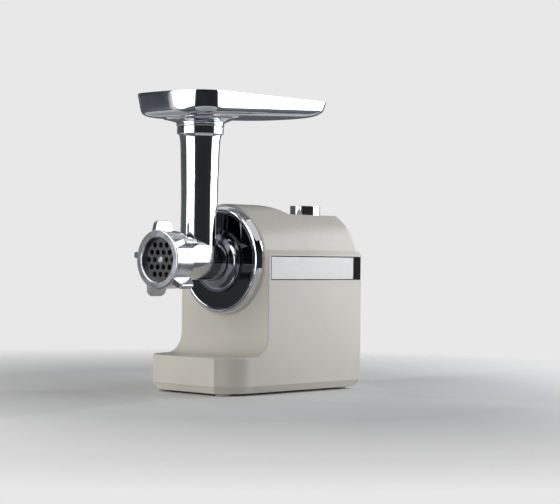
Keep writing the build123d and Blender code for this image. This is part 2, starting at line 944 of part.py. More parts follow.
def plate_key():
    """Radial pin in the barrel mouth that keeps the plate from turning."""
    y = mouth_y() + plate_seat / 2
    low = axis_z + plate_r - key_reach
    return Pos(0, y, 0) * Pos(0, 0, low) * Cylinder(key_r, thread_r - 0.2 - plate_r + key_reach,
                                                    align=LOW)


def tail_bush():
    """Nylon bush in the head's tail that the auger turns in."""
    outer = journal_r + run_fit + bush_wall
    return tube(outer, journal_r + run_fit, bore_end(), wall_y + tail_back)


def cutting_plate():
    """Perforated plate: holes in a hexagonal pattern round the auger's pin."""
    front = nut_front + plate_recess
    back = front + plate_thick
    plate = rod(plate_r, front, back)
    for row in range(hole_rows):
        level = row - (hole_rows - 1) // 2
        count = hole_rows - abs(level)
        for i in range(count):
            x = (i - (count - 1) / 2) * hole_pitch
            z = axis_z + level * hole_pitch * math.sqrt(3) / 2
            size = hole_r if (x or level) else pin_r + run_fit
            plate -= rod(size, front - 1, back + 1, x, z)
    notch = key_r + key_slack
    plate -= block(
        -notch, notch, front - 1, back + 1,
        axis_z + plate_r - key_reach - key_slack, axis_z + plate_r + 1,
    )
    return plate


def ring_nut():
    """Ring nut: rim, groove, skirt over the thread and five long wings."""
    back = nut_front + nut_long
    rim_end = nut_front + nut_rim_long
    lip_back = nut_front + plate_recess
    bore = thread_r + part_gap
    body = turned_points(
        [
            (nut_open_r + 1.2, nut_front),
            (nut_rim_r - 1.2, nut_front),
            (nut_rim_r, nut_front + 1.0),
            (nut_rim_r, rim_end),
            (nut_r - nut_groove, rim_end),
            (nut_r - nut_groove, rim_end + nut_groove_long),
            (nut_r, rim_end + nut_groove_long),
            (nut_r, back - 0.8),
            (nut_r - 0.8, back),
            (bore, back),
            (bore, lip_back),
            (nut_open_r, lip_back),
            (nut_open_r, nut_front + 1.2),
        ]
    )
    return fuse([body] + round_about_axis(nut_wing(), wing_count, wing_first))


def nut_wing():
    """One wing: a radial blade with a sloping front and rounded tip edges."""
    back = nut_front + nut_long
    root = thread_r + part_gap + 0.8
    side = make_face(
        Polyline(
            (root, nut_front + 1.6),
            (nut_rim_r + 0.4, nut_front + 1.0),
            (wing_r - 1.5, nut_front + wing_slope),
            (wing_r, nut_front + wing_slope + 2.0),
            (wing_r, back - 4.0),
            (wing_r - 3.0, back - 0.4),
            (root, back - 0.4),
            close=True,
        )
    )
    blade = extrude(side, amount=wing_thick / 2, both=True)
    tips = [
        edge
        for edge in blade.edges()
        if edge.center().X > wing_r - 2.5 and abs(abs(edge.center().Z) - wing_thick / 2) < 0.01
    ]
    return fillet(tips, 1.6)


def knife():
    """Four-blade knife with swept blades, square in the middle."""
    front = nut_front + plate_recess + plate_thick + knife_gap
    blade = make_face(
        [
            Line((0, -6), (9, -6)),
            ThreePointArc((9, -6), (19, -4.6), (knife_r - 0.6, -0.6)),
            Line((knife_r - 0.6, -0.6), (knife_r - 0.2, 3.2)),
            ThreePointArc((knife_r - 0.2, 3.2), (17, 3.0), (8, 7)),
            Line((8, 7), (0, 7)),
            Line((0, 7), (0, -6)),
        ]
    )
    one = extrude(Plane.XZ * blade, amount=knife_thick * 0.6, dir=(0, 1, 0))
    blades = round_about_axis(Pos(0, front, 0) * one, 4)
    hub = rod(10.4, front, front + knife_thick)
    body = fuse([hub] + blades)
    half = knife_square / 2 + 0.05
    body -= block(-half, half, front - 1, front + knife_thick + 1, axis_z - half, axis_z + half)
    return body


def auger():
    """Feed screw: front pin, knife square, tapered core with its flight, journal and hexagon."""
    pin_front = nut_front + plate_recess - pin_proud
    square_front = nut_front + plate_recess + plate_thick + knife_gap
    core_front = square_front + knife_thick
    core_back = bore_end() - part_gap
    hex_front = wall_y + tail_back
    core = turned_points(
        [
            (0, pin_front),
            (pin_r - 0.8, pin_front),
            (pin_r, pin_front + 0.8),
            (pin_r, core_front),
            (auger_root_front, core_front),
            (auger_root_back, core_back),
            (journal_r, core_back),
            (journal_r, hex_front),
            (0, hex_front),
        ]
    )
    half = knife_square / 2
    core += block(-half, half, square_front, core_front, axis_z - half, axis_z + half)
    core += hex_bar(hex_flats, hex_front, hex_front + hex_reach)
    return core + auger_flight(core_front + 0.2, core_back - 0.4)


def auger_flight(y_low, y_high):
    """Helical flight of the feed screw."""
    outer = barrel_r - barrel_wall - auger_gap
    root = auger_root_front - 2.5
    lead = y_high - y_low - flight_thick
    path = Helix(flight_pitch, lead, (outer + root) / 2, (0, y_low + flight_thick / 2, 0), (0, 1, 0))
    start = path.position_at(0)
    radial = Vector(start.X, 0, start.Z).normalized()
    section_plane = Plane(origin=start, x_dir=radial, z_dir=path.tangent_at(0))
    section = section_plane * Rectangle(outer - root, flight_thick)
    flight = sweep(section, path=path, is_frenet=True)
    return Pos(0, 0, axis_z) * flight


def hex_bar(flats, y_low, y_high):
    """Hexagonal bar along the auger axis."""
    radius = flats / math.sqrt(3)
    bar = extrude(Plane.XZ * RegularPolygon(radius, 6), amount=y_high - y_low, dir=(0, 1, 0))
    return Pos(0, y_low, axis_z) * bar


# ---------------------------------------------------------------- feed tray
def tray_outline(half, y_front, y_back, corner, level, rise):
    """Rounded rectangle on a plane that climbs to the rear from its level at the neck."""
    neck = wall_y - neck_y
    plane = Plane(origin=(0, neck, level), x_dir=(1, 0, 0), z_dir=(0, -rise, 1))
    front, back = y_front - neck, y_back - neck
    plan = make_face(
        Polyline((-half, front), (half, front), (half, back), (-half, back), close=True)
    )
    return plane * fillet(plan.vertices(), corner)


def tray_ring(inset, level, rise):
    """Outline of the tray at one level, set in by a distance."""
    front = wall_y - tray_front + inset
    back = wall_y + tray_rear - inset
    corner = tray_corner - inset / 2
    return tray_outline(tray_half - inset, front, back, corner, level, rise)


def funnel_form(inset, lift):
    """Slanted cone from the tray's floor to the skirt on the neck."""
    neck = wall_y - neck_y
    slope = Plane(origin=(0, neck, floor_low + lift), x_dir=(1, 0, 0), z_dir=(0, -floor_rise, 1))
    mouth = slope * Pos(0, -funnel_ahead) * Circle(funnel_r - inset)
    foot = Plane.XY.offset(funnel_low + lift) * Pos(0, neck) * Circle(skirt_r - inset)
    return loft([foot, mouth], ruled=True)


def tray_form(inset, lift):
    """Tray body from rim to wall foot, bend, floor and funnel, set in and lifted."""
    rim = tray_ring(inset, tray_top, 0)
    waist = tray_ring(waist_inset + inset, waist_low + lift, waist_rise)
    bilge = tray_ring(bilge_inset + inset, bilge_low + lift, (waist_rise + floor_rise) / 2)
    floor = tray_ring(floor_inset + inset, floor_low + lift, floor_rise)
    levels = [floor, bilge, waist, rim]
    bands = [loft([low, high], ruled=True) for low, high in zip(levels, levels[1:])]
    return fuse(bands) + funnel_form(inset, lift)


def feed_tray():
    """Polished tray: banded rim, funnelled floor, skirt on the neck rim and a spigot in it."""
    neck = wall_y - neck_y
    body = tray_form(0, 0)
    skirt = post(skirt_r - 0.6, rim_top, funnel_low + tray_sheet, 0, neck)
    bead = post(skirt_r, rim_top + 0.8, rim_top + 4.8, 0, neck)
    spigot_r = mouth_r - spigot_gap
    body += skirt + bead + post(spigot_r, rim_top - spigot_long, rim_top, 0, neck)
    body -= tray_form(tray_sheet, tray_sheet)
    body -= post(spigot_r - spigot_wall, rim_top - spigot_long - 1, tray_top, 0, neck)
    return body


# ---------------------------------------------------------------- knob and switch
def switch_knob():
    """Chrome knob: turned cap with a soft edge and a shallow pointer groove."""
    y = wall_y + knob_y
    low = deck_top + knob_gap
    cap = post(knob_r, low, knob_top, 0, y)
    cap = fillet(cap.edges().group_by(Axis.Z)[-1], knob_edge)
    cap -= post(knob_r - knob_wall, low - 1, knob_top - knob_wall, 0, y)
    cap += post(spindle_r + 3, low, knob_top - knob_wall, 0, y)
    cap -= block(-0.6, 0.6, y - knob_r + 2, y - knob_r + 10, knob_top - 0.5, knob_top + 1)
    return cap - post(spindle_r, low - 1, knob_top - knob_wall, 0, y)


def switch_spindle():
    """Spindle between the knob and the rotary switch."""
    y = wall_y + knob_y
    low = deck_top - hood_wall - switch_drop - switch_tall / 2
    return post(spindle_r, low, knob_top - knob_wall, 0, y)


def rotary_switch():
    """Switch body under the deck, its bush against the hood."""
    y = wall_y + knob_y
    top = deck_top - hood_wall - switch_drop
    half = switch_side / 2
    body = block(-half, half, y - half, y + half, top - switch_tall, top)
    body = fillet(body.edges().filter_by(Axis.Z), 3)
    body += post(9, top, deck_top - hood_wall, 0, y)
    for x in (-9, 0, 9):
        body += block(x - 3, x + 3, y - 0.5, y + 0.5, top - switch_tall - 8, top - switch_tall)
    return body - post(spindle_r + run_fit, top - switch_tall / 2 - 0.3, deck_top, 0, y)


# ---------------------------------------------------------------- gear train
def involute(base_r, radius, half_at_base):
    """Point on a tooth flank at a radius, measured from the tooth's middle line."""
    roll = math.sqrt(max((radius / base_r) ** 2 - 1, 0.0))
    angle = half_at_base - (roll - math.atan(roll))
    return radius, angle


def gear_plan(teeth, module):
    """Outline of a spur gear as (x, y) corners, a tooth centred on +X."""
    pitch_r = module * teeth / 2
    base_r = pitch_r * math.cos(math.radians(pressure))
    tip_r = pitch_r + tooth_height * module
    root_r = pitch_r - (tooth_height + 0.25) * module
    roll = math.sqrt((pitch_r / base_r) ** 2 - 1)
    half_pitch = math.pi / teeth
    half_tooth = half_pitch * (1 - backlash) / 2
    half_base = half_tooth + roll - math.atan(roll)
    start_r = max(base_r, root_r)
    flank = [involute(base_r, r, half_base) for r in (start_r, pitch_r, tip_r)]
    if base_r > root_r:
        flank = [(root_r, flank[0][1])] + flank
    corners = []
    for i in range(teeth):
        middle = 2 * math.pi * i / teeth
        for radius, angle in flank:
            corners.append((radius, middle - angle))
        for radius, angle in reversed(flank):
            corners.append((radius, middle + angle))
    return [(r * math.cos(a), r * math.sin(a)) for r, a in corners]


def gear(teeth, module, place, y_low, width, turn=0.0):
    """Spur gear along Y; turn, in degrees, is the angle of one tooth from +X towards +Z."""
    face = make_face(Polyline(*gear_plan(teeth, module), close=True))
    blank = extrude(Plane.XZ * face, amount=width, dir=(0, 1, 0))
    return Pos(place[0], y_low, place[1]) * Rot(Y=-turn) * blank


def centre_distance(teeth_a, teeth_b, module):
    """Distance between the axes of two meshing gears."""
    return module * (teeth_a + teeth_b) / 2


def third_corner(a, b, from_a, from_b):
    """Point at given distances from two others, to the left of the way from a to b."""
    span = math.dist(a, b)
    along = (span * span + from_a * from_a - from_b * from_b) / (2 * span)
    off = math.sqrt(from_a * from_a - along * along)
    ux, uz = (b[0] - a[0]) / span, (b[1] - a[1]) / span
    return a[0] + ux * along - uz * off, a[1] + uz * along + ux * off


def bearing_of(a, b):
    """Direction from a to b in degrees from +X towards +Z."""
    return math.degrees(math.atan2(b[1] - a[1], b[0] - a[0]))


def mesh_turn(turn_a, teeth_a, teeth_b, direction):
    """Turn of gear b, so that a gap of b meets the tooth of a; direction is from a to b."""
    phase = (direction - turn_a) * teeth_a / teeth_b
    return direction + 180 + phase + 180 / teeth_b


def train_places():
    """Axes of the output shaft, the two layshafts and the motor, as (x, z)."""
    output = (0.0, axis_z)
    reach = centre_distance(last_pinion_teeth, output_teeth, last_module)
    drop = math.sqrt(reach * reach - mid_shaft_x * mid_shaft_x)
    second = (mid_shaft_x, axis_z - drop)
    motor = (0.0, motor_z)
    first = third_corner(
        motor,
        second,
        centre_distance(motor_teeth, first_teeth, first_module),
        centre_distance(mid_pinion_teeth, mid_teeth, mid_module),
    )
    return output, second, first, motor


def train_levels():
    """Y places where each pair of gears starts."""
    last = wall_y + socket_back + cover_thick + 10
    mid = last + last_width + gear_gap
    first = mid + mid_width + gear_gap
    return last, mid, first


def train_turns():
    """Turn of each gear at rest, so that every pair is in mesh."""
    output, second, first, motor = train_places()
    pinion_two = mesh_turn(0, output_teeth, last_pinion_teeth, bearing_of(output, second))
    pinion_one = mesh_turn(0, mid_teeth, mid_pinion_teeth, bearing_of(second, first))
    pinion_motor = mesh_turn(0, first_teeth, motor_teeth, bearing_of(first, motor))
    return pinion_two, pinion_one, pinion_motor


def case_back():
    """Inner face of the gearbox case's rear wall."""
    return train_levels()[2] + first_width + 3


def output_gear():
    """Output gear with the sleeve that drives the auger's hexagon and a rear stub."""
    output = train_places()[0]
    last = train_levels()[0]
    body = gear(output_teeth, last_module, output, last, last_width)
    body += rod(sleeve_r, wall_y + socket_back + 0.4, last)
    body += rod(14, last - 1.5, last)
    body += rod(7, last + last_width, case_back() - 0.3)
    return body - hex_bar(
        hex_flats + 2 * hex_slack, wall_y, wall_y + tail_back + hex_reach + 0.4
    )


def first_layshaft_gear():
    """Gear driven by the motor pinion, with its small pinion moulded on."""
    place = train_places()[2]
    _, mid, first = train_levels()
    body = gear(mid_pinion_teeth, mid_module, place, mid, mid_width, train_turns()[1])
    body += gear(first_teeth, first_module, place, first, first_width)
    body += rod(mid_module * mid_pinion_teeth / 2 - 1, mid + mid_width, first, *place)
    return body - rod(layshaft_r + run_fit, mid - 1, first + first_width + 1, *place)


def second_layshaft_gear():
    """Middle gear with the pinion that drives the output gear."""
    place = train_places()[1]
    last, mid, _ = train_levels()
    body = gear(last_pinion_teeth, last_module, place, last, last_width, train_turns()[0])
    body += gear(mid_teeth, mid_module, place, mid, mid_width)
    body += rod(last_module * last_pinion_teeth / 2 - 2, last + last_width, mid, *place)
    return body - rod(layshaft_r + run_fit, last - 1, mid + mid_width + 1, *place)


def layshaft_pins():
    """Steel pins that the two layshaft gears turn on."""
    _, second, first, _ = train_places()
    low = wall_y + socket_back + cover_thick
    high = case_back() + case_wall
    return group([rod(layshaft_r, low, high, *second), rod(layshaft_r, low, high, *first)])


def case_radii(grow):
    """Radii of the gearbox outline round the output, the layshafts and the motor."""
    radii = [
        last_module * (output_teeth / 2 + 1),
        mid_module * (mid_teeth / 2 + 1),
        first_module * (first_teeth / 2 + 1),
        first_module * (motor_teeth / 2 + 1),
    ]
    return [radius + case_gap + grow for radius in radii]


def case_plan(grow):
    """Gearbox outline: tangent hull round the four shafts."""
    radii = case_radii(grow)
    rounds = [Pos(*place) * Circle(radius).edge() for place, radius in zip(train_places(), radii)]
    return make_hull(rounds)


def case_slab(grow, y_low, y_high):
    """Gearbox outline drawn out between two Y places."""
    slab = extrude(Plane.XZ * case_plan(grow), amount=y_high - y_low, dir=(0, 1, 0))
    return Pos(0, y_low, 0) * slab


def gearbox_cover():
    """Front plate of the gearbox with ears on the wall bosses and the socket's screws."""
    front = wall_y + socket_back
    back = front + cover_thick
    body = case_slab(case_wall, front, back)
    body += fuse([rod(6, front, back, x, z) for x, z in wall_screws()])
    body -= fuse([rod(screw_r, front - 1, back + 1, x, z) for x, z in wall_screws()])
    last, mid, _ = train_levels()
    _, second, first, _ = train_places()
    body += rod(sleeve_r + 9, back, last - 2)
    body -= rod(sleeve_r + 5, front - 1, last - 1)
    for place, end in ((second, last - 0.5), (first, mid - 0.5)):
        body += tube(layshaft_r + 3, layshaft_r, back, end, *place)
    return body - fuse([rod(bolt_r, front - 1, back + 1, x, z) for x, z in socket_screws()])


def output_bearing():
    """Sintered bush in the cover round the output sleeve."""
    return tube(sleeve_r + 5, sleeve_r + run_fit, wall_y + socket_back + 0.4, train_levels()[0] - 2)


def gearbox_case():
    """Gearbox cup behind the cover, with seats for the pins and the output stub."""
    low = wall_y + socket_back + cover_thick
    back = case_back()
    body = case_slab(case_wall, low, back + case_wall) - case_slab(0, low - 1, back)
    output, second, first, motor = train_places()
    body += tube(11, 7 + run_fit, back - 12, back, *output)
    for place in (second, first):
        start = train_levels()[1] + mid_width + 0.5 if place == second else back - 2.5
        body += rod(layshaft_r + 3, start, back, *place)
        body -= rod(layshaft_r, low - 1, back + case_wall + 1, *place)
    body -= rod(pinion_shaft_r + 3, back - 1, back + case_wall + 1, *motor)
    return body


def gearbox_screws():
    """Screws from the gearbox cover into the bosses of the front wall."""
    screws = []
    back = wall_y + socket_back + cover_thick
    for x, z in wall_screws():
        head = rod(screw_head_r, back, back + screw_head, x, z)
        screws.append(rod(screw_r, wall_y + 4, back, x, z) + head)
    return group(screws)


def socket_bolts():
    """Screws from the gearbox cover into the socket."""
    bolts = []
    back = wall_y + socket_back + cover_thick
    for x, z in socket_screws():
        bolts.append(rod(bolt_r, wall_y + 0.2, back, x, z) + rod(bolt_r * 1.7, back, back + 2.4, x, z))
    return group(bolts)


# ---------------------------------------------------------------- motor
def motor_levels():
    """Y places of the fan, the stator stack, the commutator and the rear bearing."""
    bracket = case_back() + case_wall
    bearing_end = bracket + bracket_thick + bearing_long
    fan = bearing_end + 2
    stack = fan + fan_long + winding_over + 2
    rear = rear_y - wall - motor_clear - bearing_long
    commutator = rear - commutator_long - 4
    return bracket, bearing_end, fan, stack, commutator, rear


def stack_length():
    """Length of the laminations, which fill the room between fan and commutator."""
    return motor_levels()[4] - winding_over - 1 - motor_levels()[3]


def motor_shaft():
    """Armature shaft, stepped down for the pinion."""
    bracket, _, _, _, _, rear = motor_levels()
    pinion_start = train_levels()[2]
    shaft = rod(motor_shaft_r, bracket + bracket_thick, rear + bearing_long, 0, motor_z)
    return shaft + rod(pinion_shaft_r, pinion_start, bracket + bracket_thick, 0, motor_z)


def motor_pinion():
    """Small pinion pressed on the end of the motor shaft."""
    place = train_places()[3]
    first = train_levels()[2]
    body = gear(motor_teeth, first_module, place, first, first_width, train_turns()[2])
    return body - rod(pinion_shaft_r, first - 1, first + first_width + 1, *place)


def motor_front_bracket():
    """Plate on the gearbox case that holds the front bearing and the stator's bolts."""
    bracket, bearing_end, _, stack, _, _ = motor_levels()
    half_w = stack_width / 2
    half_h = stack_height / 2
    plate = block(-half_w, half_w, bracket, bracket + bracket_thick, motor_z - half_h, motor_z + half_h)
    plate = fillet(plate.edges().filter_by(Axis.Y), 8)
    plate += tube(bearing_r + 3, bearing_r, bracket, bearing_end, 0, motor_z)
    plate -= rod(pinion_shaft_r + 3, bracket - 1, bracket + bracket_thick + 1, 0, motor_z)
    for x, z in through_bolt_places():
        plate += tube(bolt_r + 3, bolt_r, bracket, stack, x, z)
        plate -= rod(bolt_r, bracket - 1, stack, x, z)
    return plate


def through_bolt_places():
    """Places of the four long bolts through the stator."""
    x = stack_width / 2 - bolt_in
    z = stack_height / 2 - bolt_in
    return [(sx * x, motor_z + sz * z) for sx in (-1, 1) for sz in (-1, 1)]


def motor_rear_bracket():
    """Bridge behind the stator that holds the rear bearing and the brush holders."""
    _, _, _, stack, _, rear = motor_levels()
    stack_end = stack + stack_length()
    half_w = stack_width / 2
    half_h = stack_height / 2
    plate = block(-half_w, half_w, rear, rear + bracket_thick, motor_z - half_h, motor_z + half_h)
    plate = fillet(plate.edges().filter_by(Axis.Y), 8)
    plate += tube(bearing_r + 3, bearing_r, rear, rear + bearing_long, 0, motor_z)
    plate -= rod(bearing_r, rear - 1, rear + bracket_thick + 1, 0, motor_z)
    for x, z in through_bolt_places():
        plate += tube(bolt_r + 3, bolt_r, stack_end, rear, x, z)
        plate -= rod(bolt_r, stack_end, rear + bracket_thick + 1, x, z)
    return plate


def ball_bearing(y_low):
    """Bearing ring between the motor shaft and a bracket."""
    return tube(bearing_r, motor_shaft_r + run_fit, y_low, y_low + bearing_long, 0, motor_z)


def cooling_fan():
    """Radial fan on the motor shaft."""
    fan = motor_levels()[2]
    disc = rod(fan_r, fan, fan + 1.6, 0, motor_z)
    hub = rod(8, fan, fan + fan_long, 0, motor_z)
    blade = block(7, fan_r - 1, fan + 1, fan + fan_long, -0.8, 0.8)
    blades = [
        Pos(0, 0, motor_z) * Rot(Y=i * 360 / fan_blades) * blade for i in range(fan_blades)
    ]
    return fuse([disc, hub] + blades) - rod(motor_shaft_r, fan - 1, fan + fan_long + 1, 0, motor_z)


def stator_stack():
    """Laminated two-pole stator."""
    stack = motor_levels()[3]
    end = stack + stack_length()
    half_w = stack_width / 2
    half_h = stack_height / 2
    body = block(-half_w, half_w, stack, end, motor_z - half_h, motor_z + half_h)
    body = fillet(body.edges().filter_by(Axis.Y), 10)
    body -= rod(armature_r + air_gap, stack - 1, end + 1, 0, motor_z)
    half_pocket = coil_half + coil_slack
    low = armature_r + air_gap - pole_depth
    pocket = block(-half_pocket, half_pocket, stack - 1, end + 1, low, half_h - yoke)
    body -= Pos(0, 0, motor_z) * pocket
    body -= Pos(0, 0, motor_z) * Rot(Y=180) * pocket
    for x, z in through_bolt_places():
        body -= rod(bolt_r, stack - 1, end + 1, x, z)
    return body


def field_coils():
    """Two field windings in the stator's pockets, with their end turns."""
    stack = motor_levels()[3]
    low = stack - winding_over + 1
    high = stack + stack_length() + winding_over - 1
    under = armature_r + air_gap + coil_off
    coils = []
    for side in (1, -1):
        coil = block(-coil_half, coil_half, low, high, under, under + coil_tall)
        coils.append(Pos(0, 0, motor_z) * Rot(Y=90 - 90 * side) * coil)
    return group(coils)


def armature_stack():
    """Slotted armature laminations on the shaft."""
    stack = motor_levels()[3]
    body = rod(armature_r, stack, stack + stack_length(), 0, motor_z)
    slot = block(armature_r - 6, armature_r + 1, stack - 1, stack + stack_length() + 1, -1.2, 1.2)
    for i in range(12):
        body -= Pos(0, 0, motor_z) * Rot(Y=i * 30) * slot
    return body - rod(motor_shaft_r, stack - 1, stack + stack_length() + 1, 0, motor_z)


def armature_windings():
    """End turns of the armature winding, front and rear."""
    stack = motor_levels()[3]
    end = stack + stack_length()
    front = tube(armature_r - 3, motor_shaft_r, stack - winding_over, stack, 0, motor_z)
    rear = tube(armature_r - 3, motor_shaft_r, end, end + winding_over, 0, motor_z)
    return group([front, rear])


def commutator():
    """Copper commutator on the shaft."""
    low = motor_levels()[4]
    return tube(commutator_r, motor_shaft_r, low, low + commutator_long, 0, motor_z)


def brush_holders():
    """Brush boxes on the rear bracket, left and right of the commutator."""
    rear = motor_levels()[5]
    low = motor_levels()[4] + 2
    half = brush_side / 2
    start = commutator_r + 2
    holders = []
    for side in (1, -1):
        box = block(start, start + brush_long + 4, low, rear, -half - 1.5, half + 1.5)
        box -= block(start - 1, start + brush_long + 2, low + 1.5, low + 1.5 + brush_side, -half, half)
        holders.append(Pos(0, 0, motor_z) * Rot(Y=90 - 90 * side) * box)
    return group(holders)


def carbon_brushes():
    """Carbon brushes in their boxes, seated on the commutator."""
    low = motor_levels()[4] + 3.5
    half = brush_side / 2 - 0.1
    brushes = []
    for side in (1, -1):
        brush = block(commutator_r - 1, commutator_r + brush_long, low + 0.1, low + brush_side - 0.1,
                      -half, half)
        brush -= Pos(0, 0, -motor_z) * rod(commutator_r + 0.05, low - 1, low + brush_side + 1, 0, motor_z)
        brushes.append(Pos(0, 0, motor_z) * Rot(Y=90 - 90 * side) * brush)
    return group(brushes)


def through_bolts():
    """Long bolts that clamp the motor between its brackets."""
    bracket, _, _, _, _, rear = motor_levels()
    head = rear + bracket_thick
    bolts = []
    for x, z in through_bolt_places():
        bolts.append(rod(bolt_r, bracket, head, x, z) + rod(bolt_r * 1.8, head, head + 2.4, x, z))
    return group(bolts)


def motor_mount():
    """Rubber saddle between the stator and the base pan."""
    stack = motor_levels()[3]
    low = pan_low + pan_floor
    high = motor_z - stack_height / 2
    end = stack + stack_length()
    rest = block(-saddle_half, saddle_half, stack + saddle_in, end - saddle_in, low, high)
    inner = saddle_half - saddle_leg
    return rest - block(-inner, inner, stack, end, low - 1, high - saddle_deck)


# ---------------------------------------------------------------- electrics
def control_board():
    """Circuit board on the left wall."""
    x, y_low, y_high, z_low, z_high = board_place()
    return block(x, x + board_thick, y_low, y_high, z_low, z_high)


def board_parts():
    """Capacitor, relay and heat sink on the board."""
    x, y_low, y_high, z_low, z_high = board_place()
    face = x + board_thick
    left = y_low + board_margin
    upper = z_high - board_margin
    can = Pos(face, y_low + 2 * can_r, z_high - 2 * can_r) * Rot(Y=90)
    can *= Cylinder(can_r, can_tall, align=LOW)
    relay_y = left + 3 * can_r + 1
    relay = block(
        face, face + relay_deep, relay_y, relay_y + relay_long, upper - relay_tall, upper)
    sink_low = z_low + board_margin - 2
    sink_high = sink_low + sink_tall
    sink = block(face, face + board_thick + 0.4, left, left + sink_long, sink_low, sink_high)
    for i in range(4):
        fin_y = left + 2 + i * sink_pitch
        sink += block(face, face + sink_deep, fin_y, fin_y + sink_fin, sink_low, sink_high)
    return group([can, relay, sink])


def cord_gland():
    """Round gland in the rear wall with a bore for the mains cord."""
    inner = rear_y - wall
    body = rod(gland_r, rear_y, rear_y + 1.6, gland_x, gland_z)
    body += rod(gland_tube_r, inner - 4, rear_y, gland_x, gland_z)
    body += rod(gland_r, inner - 4, inner, gland_x, gland_z)
    return body - rod(gland_bore, inner - 6, rear_y + 3, gland_x, gland_z)


# ---------------------------------------------------------------- all sub-parts
def build():
    """Makes and writes every sub-part."""
    os.makedirs("parts", exist_ok=True)
    bracket, _, _, _, _, rear = motor_levels()
    makers = {
        "lower_housing": lower_housing,
        "hood": hood_shell,
        "base_pan": base_pan,
        "rubber_feet": rubber_feet,
        "base_screws": base_screws,
        "hood_screws": hood_screws,
        "side_plate_right": lambda: side_plate(1),
        "side_plate_left": lambda: side_plate(-1),
        "rear_vent_grille": rear_vent_grille,
        "bezel_ring": bezel_ring,
        "mounting_disc": mounting_disc,
        "head_socket": head_socket,
        "grinder_head": grinder_head,
        "tail_bush": tail_bush,
        "plate_key": plate_key,
        "cutting_plate": cutting_plate,
        "ring_nut": ring_nut,
        "knife": knife,
        "auger": auger,
        "feed_tray": feed_tray,
        "switch_knob": switch_knob,
        "switch_spindle": switch_spindle,
        "rotary_switch": rotary_switch,
        "output_gear": output_gear,
        "first_layshaft_gear": first_layshaft_gear,
        "second_layshaft_gear": second_layshaft_gear,
        "layshaft_pins": layshaft_pins,
        "gearbox_cover": gearbox_cover,
        "gearbox_case": gearbox_case,
        "output_bearing": output_bearing,
        "gearbox_screws": gearbox_screws,
        "socket_bolts": socket_bolts,
        "motor_shaft": motor_shaft,
        "motor_pinion": motor_pinion,
        "motor_front_bracket": motor_front_bracket,
        "motor_rear_bracket": motor_rear_bracket,
        "front_bearing": lambda: ball_bearing(bracket + bracket_thick),
        "rear_bearing": lambda: ball_bearing(rear),
        "cooling_fan": cooling_fan,
        "stator_stack": stator_stack,
        "field_coils": field_coils,
        "armature_stack": armature_stack,
        "armature_windings": armature_windings,
        "commutator": commutator,
        "brush_holders": brush_holders,
        "carbon_brushes": carbon_brushes,
        "through_bolts": through_bolts,
        "motor_mount": motor_mount,
        "control_board": control_board,
        "board_parts": board_parts,
        "cord_gland": cord_gland,
    }
    for name, maker in makers.items():
        save(name, maker())


build()
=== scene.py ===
"""Looks of an electric meat grinder: finishes, small trim, studio and camera.

Lengths are in metres, and those marked mm are multiplied by mm where they are used. The auger's
axis runs along Y and the grinding head points to -Y.
"""

import json
import math

import bmesh
import bpy
from mathutils import Matrix, Vector

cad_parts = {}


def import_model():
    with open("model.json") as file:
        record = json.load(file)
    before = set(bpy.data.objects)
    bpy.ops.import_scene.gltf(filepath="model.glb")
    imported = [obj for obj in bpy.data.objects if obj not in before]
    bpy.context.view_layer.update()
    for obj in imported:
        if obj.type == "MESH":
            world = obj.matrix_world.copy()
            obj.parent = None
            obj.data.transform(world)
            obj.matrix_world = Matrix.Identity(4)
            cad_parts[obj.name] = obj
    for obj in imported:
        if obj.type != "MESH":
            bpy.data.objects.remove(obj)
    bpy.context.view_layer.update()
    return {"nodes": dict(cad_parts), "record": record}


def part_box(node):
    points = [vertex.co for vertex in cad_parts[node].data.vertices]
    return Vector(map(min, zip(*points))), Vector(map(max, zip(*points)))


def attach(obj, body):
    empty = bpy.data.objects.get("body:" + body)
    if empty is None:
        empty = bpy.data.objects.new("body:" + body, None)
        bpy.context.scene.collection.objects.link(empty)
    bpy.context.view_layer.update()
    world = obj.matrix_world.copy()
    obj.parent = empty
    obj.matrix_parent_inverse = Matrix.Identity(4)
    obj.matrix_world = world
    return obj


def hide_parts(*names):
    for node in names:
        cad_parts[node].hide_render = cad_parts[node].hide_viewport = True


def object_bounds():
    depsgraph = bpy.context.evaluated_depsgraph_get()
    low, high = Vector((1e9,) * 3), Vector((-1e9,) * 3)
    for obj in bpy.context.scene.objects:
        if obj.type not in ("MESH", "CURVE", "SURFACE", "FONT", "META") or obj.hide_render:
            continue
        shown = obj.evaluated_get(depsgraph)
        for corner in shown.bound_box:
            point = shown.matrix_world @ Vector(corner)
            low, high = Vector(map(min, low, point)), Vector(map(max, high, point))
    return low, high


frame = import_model()
nodes = frame["nodes"]
mm = 0.001


# ---------------------------------------------------------------- places read from the frame
def middle(node):
    """Centre of a CAD node's box."""
    low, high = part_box(node)
    return (low + high) / 2


axis_z = middle("mounting_disc").z      # height of the auger's axis
wall_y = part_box("hood")[0].y            # front wall of the housing
object_low, object_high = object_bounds()
object_mid = (object_low + object_high) / 2


